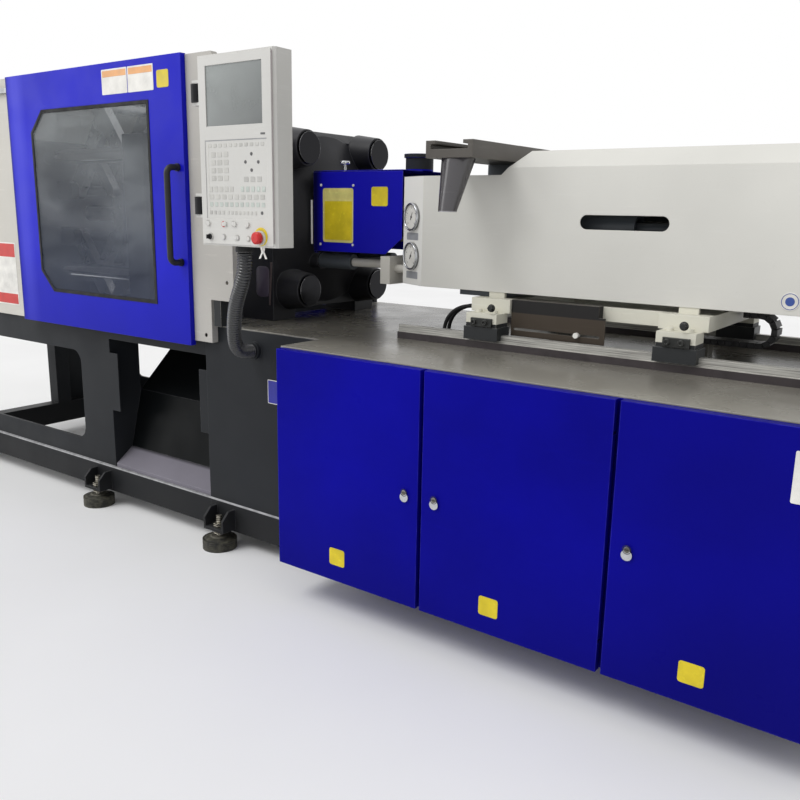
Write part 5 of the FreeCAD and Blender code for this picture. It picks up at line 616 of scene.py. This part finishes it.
def tube(name, stations, radii, finish, sides=24):
    """Mesh tube through stations, each with its own radius, closed at both ends."""
    mesh = bmesh.new()
    side = None
    rings = []
    for i, (point, radius) in enumerate(zip(stations, radii)):
        ahead = stations[min(i + 1, len(stations) - 1)]
        behind = stations[max(i - 1, 0)]
        along = (ahead - behind).normalized()
        if side is None:
            side = along.orthogonal()
        side = (side - along * side.dot(along)).normalized()
        other = along.cross(side)
        rings.append([
            mesh.verts.new(point + (side * math.cos(a) + other * math.sin(a)) * radius)
            for a in (2 * math.pi * j / sides for j in range(sides))
        ])
    for first, second in zip(rings, rings[1:]):
        for j in range(sides):
            k = (j + 1) % sides
            mesh.faces.new((first[j], first[k], second[k], second[j]))
    mesh.faces.new(rings[0])
    mesh.faces.new(rings[-1])
    bmesh.ops.recalc_face_normals(mesh, faces=mesh.faces[:])
    data = bpy.data.meshes.new(name)
    mesh.to_mesh(data)
    mesh.free()
    data.materials.append(finish)
    for polygon in data.polygons:
        polygon.use_smooth = True
    made = bpy.data.objects.new(name, data)
    scene.collection.objects.link(made)
    return made


PANEL_HOSE = [
    (0.400, -0.625, 1.225), (0.400, -0.625, 1.162), (0.374, -0.620, 1.106), (0.336, -0.610, 1.048),
    (0.308, -0.596, 0.986), (0.284, -0.576, 0.926), (0.260, -0.548, 0.876), (0.245, -0.504, 0.843),
    (0.245, -0.451, 0.843),
]
RIB_PROFILE = (0.0230, 0.0231, 0.0252, 0.0265, 0.0265, 0.0252)
RIB_PITCH = 0.010


def panel_hose():
    line = smooth_line("panel_hose_line", PANEL_HOSE)
    length = spaced(line, 0.01)[1]
    ribs = round(length / RIB_PITCH)
    stations = spaced(line, length / (ribs * len(RIB_PROFILE)))[0]
    radii = [RIB_PROFILE[i % len(RIB_PROFILE)] for i in range(len(stations))]
    hose = tube("panel_hose", stations, radii, hose_plastic, 28)
    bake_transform(hose)
    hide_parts("controller_hose")
    return hose


def unit_hose(name, y, with_replace):
    points = [
        (0.900, y, 0.921), (0.900, y, 0.960), (0.915, y, 1.002), (0.950, y, 1.034), (1.000, y, 1.050),
        (1.045, y, 1.052),
    ]
    line = smooth_line(name + "_line", points)
    stations, length = spaced(line, 0.002)
    radii = [0.0070 if i % 3 else 0.0068 for i in range(len(stations))]
    hose = tube(name, stations, radii, rubber, 20)
    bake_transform(hose)
    if with_replace:
        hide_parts("unit_hoses")
    return hose


panel_hose()
unit_hose("unit_hose_1", -0.120, True)
unit_hose("unit_hose_2", -0.090, False)


# ---------------------------------------------------------------- plates on the guard, the doors and the beds
def yellow_field(name, x, z, face, body):
    """Plain yellow field with rounded corners."""
    Shape().rect(x, z, face - 0.0012, face, 0.0002, 0.008).done(name, plate_yellow, body, "gauge_face")


GUARD_FACE = -0.485
DOOR_FACE = -0.665
GUARD_PLATES = (((-0.553, -0.388), (1.812, 1.909)), ((-0.384, -0.226), (1.812, 1.909)))
for i, (x, z) in enumerate(GUARD_PLATES, start=1):
    Shape().rect(x, z, GUARD_FACE - 0.0010, GUARD_FACE, 0.0003, 0.004).done(
        f"guard_plate_{i}", plate_white, "front_door", "white_plastic")
    band = Shape()
    band.rect((x[0] + 0.006, x[1] - 0.006), (z[1] - 0.030, z[1] - 0.006), GUARD_FACE - 0.0014,
              GUARD_FACE - 0.0009, 0.0002)
    band.done(f"guard_plate_{i}_band", plate_orange, "front_door", "gauge_face")
GUARD_FIELD = ((-0.206, -0.136), (1.818, 1.882))
yellow_field("guard_field", *GUARD_FIELD, GUARD_FACE, "front_door")

DOOR_FIELD_HEIGHT = (0.204, 0.264)
DOOR_FIELDS = ((0.819, 0.884), (1.404, 1.469), (2.000, 2.067))
for i, x in enumerate(DOOR_FIELDS, start=1):
    yellow_field(f"door_field_{i}", x, DOOR_FIELD_HEIGHT, DOOR_FACE, f"door_{i}")

for i in (1, 2, 3):
    low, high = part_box(f"door_lock_{i}")
    centre = ((low.x + high.x) / 2, low.y, (low.z + high.z) / 2)
    insert = Shape()
    insert.turned(centre, [(0.0085, -0.0002), (0.0085, 0.0008), (0.0075, 0.0012), (0, 0.0010)], "y", 24)
    insert.done(f"lock_insert_{i}", bolt_steel, f"lock_{i}", "chrome_parts")
    slit = Shape()
    slit.rect((centre[0] - 0.0052, centre[0] + 0.0052), (centre[2] - 0.0014, centre[2] + 0.0014),
              low.y - 0.0018, low.y - 0.0008, 0.0002)
    slit.turned(centre, [(0.0122, -0.0002), (0.0122, 0.0006), (0.0106, 0.0006), (0.0106, -0.0002)], "y", 32,
                ring=True)
    slit.done(f"lock_slit_{i}", plate_dark, f"lock_{i}", "black_plastic")

DOOR_PLATE = ((2.212, 2.300), (0.736, 0.861))
Shape().rect(*DOOR_PLATE, DOOR_FACE - 0.0012, DOOR_FACE, 0.0003, 0.004).done(
    "door_plate", plate_white, "door_3", "white_plastic")

BED_FACE = -0.435
BED_PLATE_FRAME = ((0.310, 0.363), (0.645, 0.738))
BED_PLATE = ((0.313, 0.360), (0.648, 0.735))
Shape().rect(*BED_PLATE_FRAME, BED_FACE - 0.0010, BED_FACE, 0.0003, 0.003).done(
    "bed_plate_frame", plate_white, "machine_frame", "white_plastic")
Shape().rect(*BED_PLATE, BED_FACE - 0.0014, BED_FACE - 0.0009, 0.0002, 0.002).done(
    "bed_plate", plate_blue, "machine_frame", "guard_blue")

COVER_FACE = -0.440
COVER_SIGN = ((-1.640, -1.390), (0.885, 1.190))
COVER_BAND_WIDTH = (-1.634, -1.396)
COVER_BAND_HEIGHTS = ((1.120, 1.184), (0.891, 0.940))
Shape().rect(*COVER_SIGN, COVER_FACE - 0.0010, COVER_FACE, 0.0003, 0.004).done(
    "cover_sign", plate_white, "machine_frame", "white_plastic")
bands = Shape()
for z in COVER_BAND_HEIGHTS:
    bands.rect(COVER_BAND_WIDTH, z, COVER_FACE - 0.0014, COVER_FACE - 0.0009, 0.0002)
bands.done("cover_sign_bands", plate_red, "machine_frame", "red_plastic")


# ---------------------------------------------------------------- control panel
PANEL_FACE = -0.685
KEYPAD_FACE = -0.6835
KEYPAD = ((0.285, 0.576), (1.339, 1.593))
DARK_KEYS = ((0.504, 1.546), (0.476, 1.521), (0.535, 1.520), (0.504, 1.495), (0.548, 1.359))
BUTTONS = ((0.287, 1.323), (0.366, 1.320), (0.413, 1.322), (0.478, 1.317), (0.366, 1.278), (0.432, 1.276),
           (0.484, 1.275))
RED_RIM_BUTTON = 1
KEY_PLACE = (0.300, 1.277)
STOP_PLACE = (0.543, 1.283)
SEAM = ((0.6010, 0.6045), (1.262, 1.852))


def keypad():
    """Film keypad: painted shadow lines at its edges, painted highlight lines along its lower edge and inside
    its left edge, and blocks of faint raised keys.
    """
    (left, right), (low, high) = KEYPAD
    face = KEYPAD_FACE
    edge = Shape()
    edge.rect((left - 0.002, right - 0.003), (high - 0.0025, high), face - 0.0008, face + 0.0002, 0.0002)
    edge.rect((left - 0.002, left + 0.0005), (low, high), face - 0.0008, face + 0.0002, 0.0002)
    edge.done("keypad_shadow_lines", plate_grey, "control_panel", "panel_grey")
    # Pale lines along the lower edge and inside the left edge are painted highlights.
    keypad_highlights = Shape()
    keypad_highlights.rect((left, right - 0.010), (low - 0.003, low), face - 0.0008, face + 0.0002, 0.0002)
    keypad_highlights.rect((left + 0.012, left + 0.0135), (low + 0.012, high - 0.012), face - 0.0008, face + 0.0002, 0.0002)
    keypad_highlights.done("keypad_highlight_lines", plate_white, "control_panel", "white_plastic")
    faint, grey, green, dark = Shape(), Shape(), Shape(), Shape()

    def block(target, x, z, columns, rows, gap):
        wide = (x[1] - x[0] + gap) / columns
        tall = (z[1] - z[0] + gap) / rows
        for i in range(columns):
            for j in range(rows):
                x0 = x[0] + i * wide
                z0 = z[0] + j * tall
                target.rect((x0, x0 + wide - gap), (z0, z0 + tall - gap), face - 0.0010, face + 0.0002,
                            0.0004, 0.0015)

    block(faint, (0.300, 0.562), (1.570, 1.581), 11, 1, 0.010)
    block(faint, (0.312, 0.395), (1.462, 1.555), 3, 4, 0.009)
    block(grey, (0.468, 0.549), (1.458, 1.474), 3, 1, 0.010)
    block(faint, (0.298, 0.417), (1.426, 1.443), 5, 1, 0.008)
    block(green, (0.452, 0.565), (1.426, 1.443), 5, 1, 0.010)
    block(faint, (0.300, 0.562), (1.402, 1.417), 9, 1, 0.010)
    block(green, (0.300, 0.562), (1.378, 1.392), 11, 1, 0.010)
    block(grey, (0.300, 0.372), (1.352, 1.364), 4, 1, 0.008)
    block(faint, (0.384, 0.524), (1.352, 1.364), 8, 1, 0.008)
    for x, z in DARK_KEYS:
        dark.turned((x, face, z), [(0.0058, -0.0002), (0.0056, 0.0009), (0.0040, 0.0014), (0, 0.0015)],
                    "y", 12)
    dark.rect((0.549, 0.569), (1.604, 1.610), PANEL_FACE - 0.0008, PANEL_FACE + 0.0002, 0.0002, 0.001)
    faint.done("keypad_faint_keys", faint_key, "control_panel", "panel_grey")
    grey.done("keypad_grey_keys", pale_key, "control_panel", "panel_grey")
    green.done("keypad_green_keys", green_key, "control_panel", "panel_grey")
    dark.done("keypad_dark_keys", grey_key, "control_panel", "black_plastic")


def panel_buttons():
    """Pale caps and rims of the push buttons, and the round plate behind the stop button."""
    collars, caps = Shape(), Shape()
    rim = [(0.0098, -0.0002), (0.0098, 0.0014), (0.0092, 0.0022), (0.0080, 0.0022), (0.0074, 0.0014),
           (0.0074, -0.0002)]
    for i, (x, z) in enumerate(BUTTONS):
        if i != RED_RIM_BUTTON:
            collars.turned((x, PANEL_FACE, z), rim, ring=True)
        caps.turned((x, PANEL_FACE, z), [
            (0.0070, -0.0002), (0.0070, 0.0034), (0.0060, 0.0044), (0.0038, 0.0040), (0, 0.0038),
        ])
    collars.turned((KEY_PLACE[0], PANEL_FACE, KEY_PLACE[1]), [
        (0.0130, -0.0002), (0.0130, 0.002), (0.0115, 0.0034), (0.0094, 0.0034), (0.0094, -0.0002),
    ], ring=True)
    collars.done("button_collars", pale_key, "control_panel", "white_plastic", True)
    caps.done("button_caps", cap_white, "control_panel", "white_plastic", True)
    red = Shape()
    x, z = BUTTONS[RED_RIM_BUTTON]
    red.turned((x, PANEL_FACE, z), rim, ring=True)
    red.done("button_red_rim", plate_red, "control_panel", "red_plastic", True)
    Shape().turned((STOP_PLACE[0], PANEL_FACE, STOP_PLACE[1]), [
        (0.0300, -0.0002), (0.0300, 0.0012), (0.0290, 0.0016), (0.0140, 0.0016), (0.0140, -0.0002),
    ], "y", 40, ring=True).done("stop_plate", yellow_plastic, "control_panel", "gauge_face", True)


def panel_seam():
    """Shadow line where the front of the case meets its side."""
    Shape().rect(*SEAM, PANEL_FACE - 0.0006, PANEL_FACE + 0.0002, 0.0001).done(
        "panel_seam", seam_grey, "control_panel", "panel_grey")


def panel_strap():
    """White twisted strap that hangs below the panel from its lower edge."""
    low = 1.248
    strap = Shape()
    for shift, lean in ((-0.006, -0.010), (0.004, 0.008)):
        strap.plate([(0.541 + shift, low + 0.0008), (0.550 + shift, low + 0.0008),
                     (0.549 + shift * 0.4, low - 0.014),
                     (0.551 + shift + lean, low - 0.036), (0.543 + shift + lean, low - 0.037),
                     (0.543 + shift * 0.4, low - 0.015)],
                    -0.6815 + shift * 0.2, -0.6790 + shift * 0.2, 0.0004)
    knot = [(0.0062, 0), (0.0068, 0.002), (0.0058, 0.0040), (0, 0.0046)]
    strap.turned((0.545, -0.6790, low - 0.0135), knot, "y", 12)
    strap.done("panel_strap", white_plastic, "control_panel", "white_plastic")


keypad()
panel_buttons()
panel_seam()
panel_strap()


# ---------------------------------------------------------------- hood, gauges and cover plates
HOOD_FACE = -0.065
SHELL_FACE = -0.135
HOOD_PLATE = ((0.268, 0.425), (1.246, 1.457))
HOOD_FIELD = ((0.515, 0.594), (1.390, 1.462))
HOOD_SCREWS = ((0.259, 1.469), (0.425, 1.467), (0.254, 1.237), (0.423, 1.239))
HINGE_LEAF = ((0.2035, 0.2125), (1.236, 1.411))
LATCH_PLACE = (0.366, -0.045)
ROUND_PLATE_PLACE = (2.058, 1.145)


def hood_plate():
    """Plain yellow plate with a pale border, its screws, and the yellow field beside it."""
    x, z = HOOD_PLATE
    Shape().rect(x, z, HOOD_FACE - 0.0012, HOOD_FACE + 0.0002, 0.0003, 0.010).done(
        "hood_plate_border", plate_pale_yellow, "hood_door", "gauge_face")
    Shape().rect((x[0] + 0.009, x[1] - 0.006), (z[0] + 0.010, z[1] - 0.050), HOOD_FACE - 0.0016,
                 HOOD_FACE - 0.0011, 0.0002, 0.004).done(
        "hood_plate", plate_yellow, "hood_door", "gauge_face")
    screws = Shape()
    for sx, sz in HOOD_SCREWS:
        screws.screw(sx, HOOD_FACE, sz, 0.0052)
    screws.done("hood_screws", plate_white, "hood_door", "white_plastic", True)
    yellow_field("hood_field", *HOOD_FIELD, HOOD_FACE, "hood_door")


def hood_fittings():
    """Bright hinge leaf at the door's left edge and the latch pin that stands above the door."""
    leaf = Shape()
    leaf.rect(*HINGE_LEAF, HOOD_FACE - 0.0022, HOOD_FACE + 0.0002, 0.0005, 0.001)
    for z in (1.252, 1.295, 1.350, 1.395):
        leaf.screw(0.208, HOOD_FACE - 0.0020, z, 0.0030)
    leaf.done("hood_hinge_leaf", plate_white, "hood_door", "white_plastic")
    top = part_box("nozzle_guard")[1].z
    latch = Shape()
    latch.turned((*LATCH_PLACE, top), [
        (0.0052, -0.001), (0.0052, 0.020), (0.0042, 0.021), (0.0042, 0.028), (0.0175, 0.029), (0.0190, 0.032),
        (0.0190, 0.038), (0.0170, 0.041), (0.0060, 0.042), (0, 0.042),
    ], "z", 20)
    latch.turned((*LATCH_PLACE, top), [(0.0110, -0.001), (0.0110, 0.004), (0.0095, 0.005), (0, 0.005)],
                 "z", 6)
    latch.done("hood_latch", chrome, "hood_door", "chrome_parts")


NOSE = Matrix.Translation((0.740, -0.104, 0)) @ Matrix.Rotation(-0.4511, 4, "Z")
GAUGE_HEIGHTS = (1.353, 1.211)
GAUGE_PLATES = ((1.270, 1.296), (1.129, 1.155))


def gauges():
    """Chrome rims, white dials with plain marks and dark needles, and a grey plate under each."""
    rims, dials, marks, needles, plates = Shape(), Shape(), Shape(), Shape(), Shape()
    dial = -0.0072
    for z in GAUGE_HEIGHTS:
        rims.turned((0, 0, z), [
            (0.0502, 0.0010), (0.0502, 0.0122), (0.0488, 0.0138), (0.0462, 0.0138), (0.0444, 0.0122),
            (0.0437, 0.0074),
        ], "y", 48, ring=True)
        dials.turned((0, dial, z), [(0.0438, -0.0001), (0.0438, 0.0003), (0, 0.0003)], "y", 48)
        for step in range(21):
            angle = math.radians(225 - 13.5 * step)
            inner = 0.030 if step % 5 == 0 else 0.0345
            wide = 0.0012 if step % 5 == 0 else 0.0007
            across = Vector((-math.sin(angle), math.cos(angle)))
            along = Vector((math.cos(angle), math.sin(angle)))
            corners = [along * inner - across * wide, along * 0.039 - across * wide,
                       along * 0.039 + across * wide, along * inner + across * wide]
            marks.plate([(c.x, z + c.y) for c in corners], dial - 0.0006, dial - 0.0002, 0)
        angle = math.radians(62)
        across = Vector((-math.sin(angle), math.cos(angle)))
        along = Vector((math.cos(angle), math.sin(angle)))
        corners = [along * -0.012 - across * 0.0022, along * 0.020, along * -0.012 + across * 0.0022]
        needles.plate([(c.x, z + c.y) for c in corners], dial - 0.0018, dial - 0.0010, 0.0001)
        needles.turned((0, dial, z), [(0.0042, 0.0002), (0.0042, 0.0020), (0.0026, 0.0026), (0, 0.0026)])
    for z in GAUGE_PLATES:
        plates.rect((-0.042, 0.042), z, -0.0010, 0.0002, 0.0002, 0.002)
    rims.done("gauge_rims", chrome, "injection_unit", "chrome_parts", True, NOSE)
    dials.done("gauge_dials", plate_white, "injection_unit", "gauge_face", False, NOSE)
    marks.done("gauge_marks", grey_key, "injection_unit", "black_plastic", False, NOSE)
    needles.done("gauge_needles", plate_dark, "injection_unit", "black_plastic", False, NOSE)
    plates.done("gauge_plates", plate_grey, "injection_unit", "panel_grey", False, NOSE)


def cover_plates():
    """Round plate with a plain blue ring and disc near the right end of the cover."""
    plate, blue = Shape(), Shape()
    centre = (ROUND_PLATE_PLACE[0], SHELL_FACE, ROUND_PLATE_PLACE[1])
    plate.turned(centre, [(0.0262, -0.0002), (0.0262, 0.0008), (0.0255, 0.0010), (0, 0.0010)], "y", 40)
    blue.turned(centre, [(0.0232, 0.0008), (0.0232, 0.0014), (0.0215, 0.0014), (0.0215, 0.0008)], "y", 40,
                ring=True)
    blue.turned(centre, [(0.0125, 0.0008), (0.0125, 0.0014), (0, 0.0014)], "y", 40)
    plate.done("round_plate", plate_white, "injection_unit", "white_plastic")
    blue.done("round_plate_rings", plate_round_blue, "injection_unit", "guard_blue")


def platen_pad():
    """Cast pad on the front side of the fixed platen, lighter than the casting, with a ridge beside it."""
    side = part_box("fixed_platen")[0].y
    Shape().rect((0.016, 0.090), (1.016, 1.142), side - 0.0060, side + 0.0005, 0.0045, 0.022).done(
        "platen_side_pad", pad_paint, "machine_frame", "casting_paint", True)
    Shape().plate([(0.086, 0.985), (0.094, 0.985), (0.108, 1.160), (0.098, 1.160)], side - 0.0045,
                  side + 0.0005, 0.0025).done(
        "platen_side_ridge", ridge_paint, "machine_frame", "casting_paint")


def carriage_bolts():
    """Dark bolts on the feet of the unit and the clamps with two screws in front of their pads."""
    face = -0.233
    for i, (x, bolt_x) in enumerate(((1.121, 1.160), (1.780, 1.802)), start=1):
        parts = Shape()
        parts.rect((x - 0.036, x + 0.044), (0.9975, 1.0260), face - 0.0100, face + 0.0002, 0.0015)
        for dx in (-0.022, 0.020):
            parts.turned((x + dx, face - 0.0098, 1.0125), [
                (0.0095, 0), (0.0095, 0.007), (0.0085, 0.0082), (0.0048, 0.0084), (0.0046, 0.0040),
                (0, 0.0040),
            ], "y", 16)
        parts.turned((bolt_x, face, 1.0620), [(0.0135, -0.0002), (0.0135, 0.0024), (0.0105, 0.0026)], "y", 20)
        parts.turned((bolt_x, face, 1.0620), [(0.0105, 0.0022), (0.0105, 0.0125), (0.0090, 0.0140)], "y", 6)
        parts.done(f"carriage_bolts_{i}", black_bolt, "injection_unit", "carriage_paint")


hood_plate()
hood_fittings()
gauges()
cover_plates()
platen_pad()
carriage_bolts()


# ---------------------------------------------------------------- floor, light and background
def floor():
    data = bpy.data.meshes.new("floor")
    reach = 40
    corners = [(-reach, -reach, 0), (reach, -reach, 0), (reach, reach, 0), (-reach, reach, 0)]
    data.from_pydata(corners, [], [(0, 1, 2, 3)])
    m = Nodes("floor")
    tone = m.mix(m.remap(m.noise(0.8, 3), 0.3, 0.7), linear(243, 243, 243), linear(248, 248, 248))
    data.materials.append(m.end(tone, 0.9, 0, 0.1))
    made = bpy.data.objects.new("floor", data)
    scene.collection.objects.link(made)


SOFT_LIGHT = 0.62


def background():
    """White where the camera, glass or gloss sees it, and a soft even light elsewhere."""
    world = bpy.data.worlds.new("studio")
    scene.world = world
    world.use_nodes = True
    tree = world.node_tree
    tree.nodes.clear()
    path = tree.nodes.new("ShaderNodeLightPath")
    seen = None
    for name in ("Is Camera Ray", "Is Glossy Ray", "Is Transmission Ray"):
        if seen is None:
            seen = path.outputs[name]
            continue
        either = tree.nodes.new("ShaderNodeMath")
        either.operation = "MAXIMUM"
        tree.links.new(seen, either.inputs[0])
        tree.links.new(path.outputs[name], either.inputs[1])
        seen = either.outputs[0]
    lit = tree.nodes.new("ShaderNodeBackground")
    lit.inputs["Color"].default_value = (1, 1, 1, 1)
    lit.inputs["Strength"].default_value = SOFT_LIGHT
    shown = tree.nodes.new("ShaderNodeBackground")
    shown.inputs["Color"].default_value = (1, 1, 1, 1)
    shown.inputs["Strength"].default_value = 1.0
    mixed = tree.nodes.new("ShaderNodeMixShader")
    tree.links.new(seen, mixed.inputs[0])
    tree.links.new(lit.outputs[0], mixed.inputs[1])
    tree.links.new(shown.outputs[0], mixed.inputs[2])
    out = tree.nodes.new("ShaderNodeOutputWorld")
    tree.links.new(mixed.outputs[0], out.inputs["Surface"])


def lamp(name, kind, direction, strength, spread):
    data = bpy.data.lights.new(name, kind)
    data.energy = strength
    data.angle = math.radians(spread)
    made = bpy.data.objects.new(name, data)
    made.rotation_euler = Vector(direction).to_track_quat("-Z", "Y").to_euler()
    scene.collection.objects.link(made)


floor()
background()
KEY_DIRECTION, KEY_STRENGTH, KEY_SPREAD = (0.32, 0.70, -1.0), 1.12, 25
FILL_DIRECTION, FILL_STRENGTH, FILL_SPREAD = (0.75, 0.5, -0.30), 0.70, 40
lamp("key", "SUN", KEY_DIRECTION, KEY_STRENGTH, KEY_SPREAD)
lamp("fill", "SUN", FILL_DIRECTION, FILL_STRENGTH, FILL_SPREAD)

scene.view_settings.view_transform = "Standard"
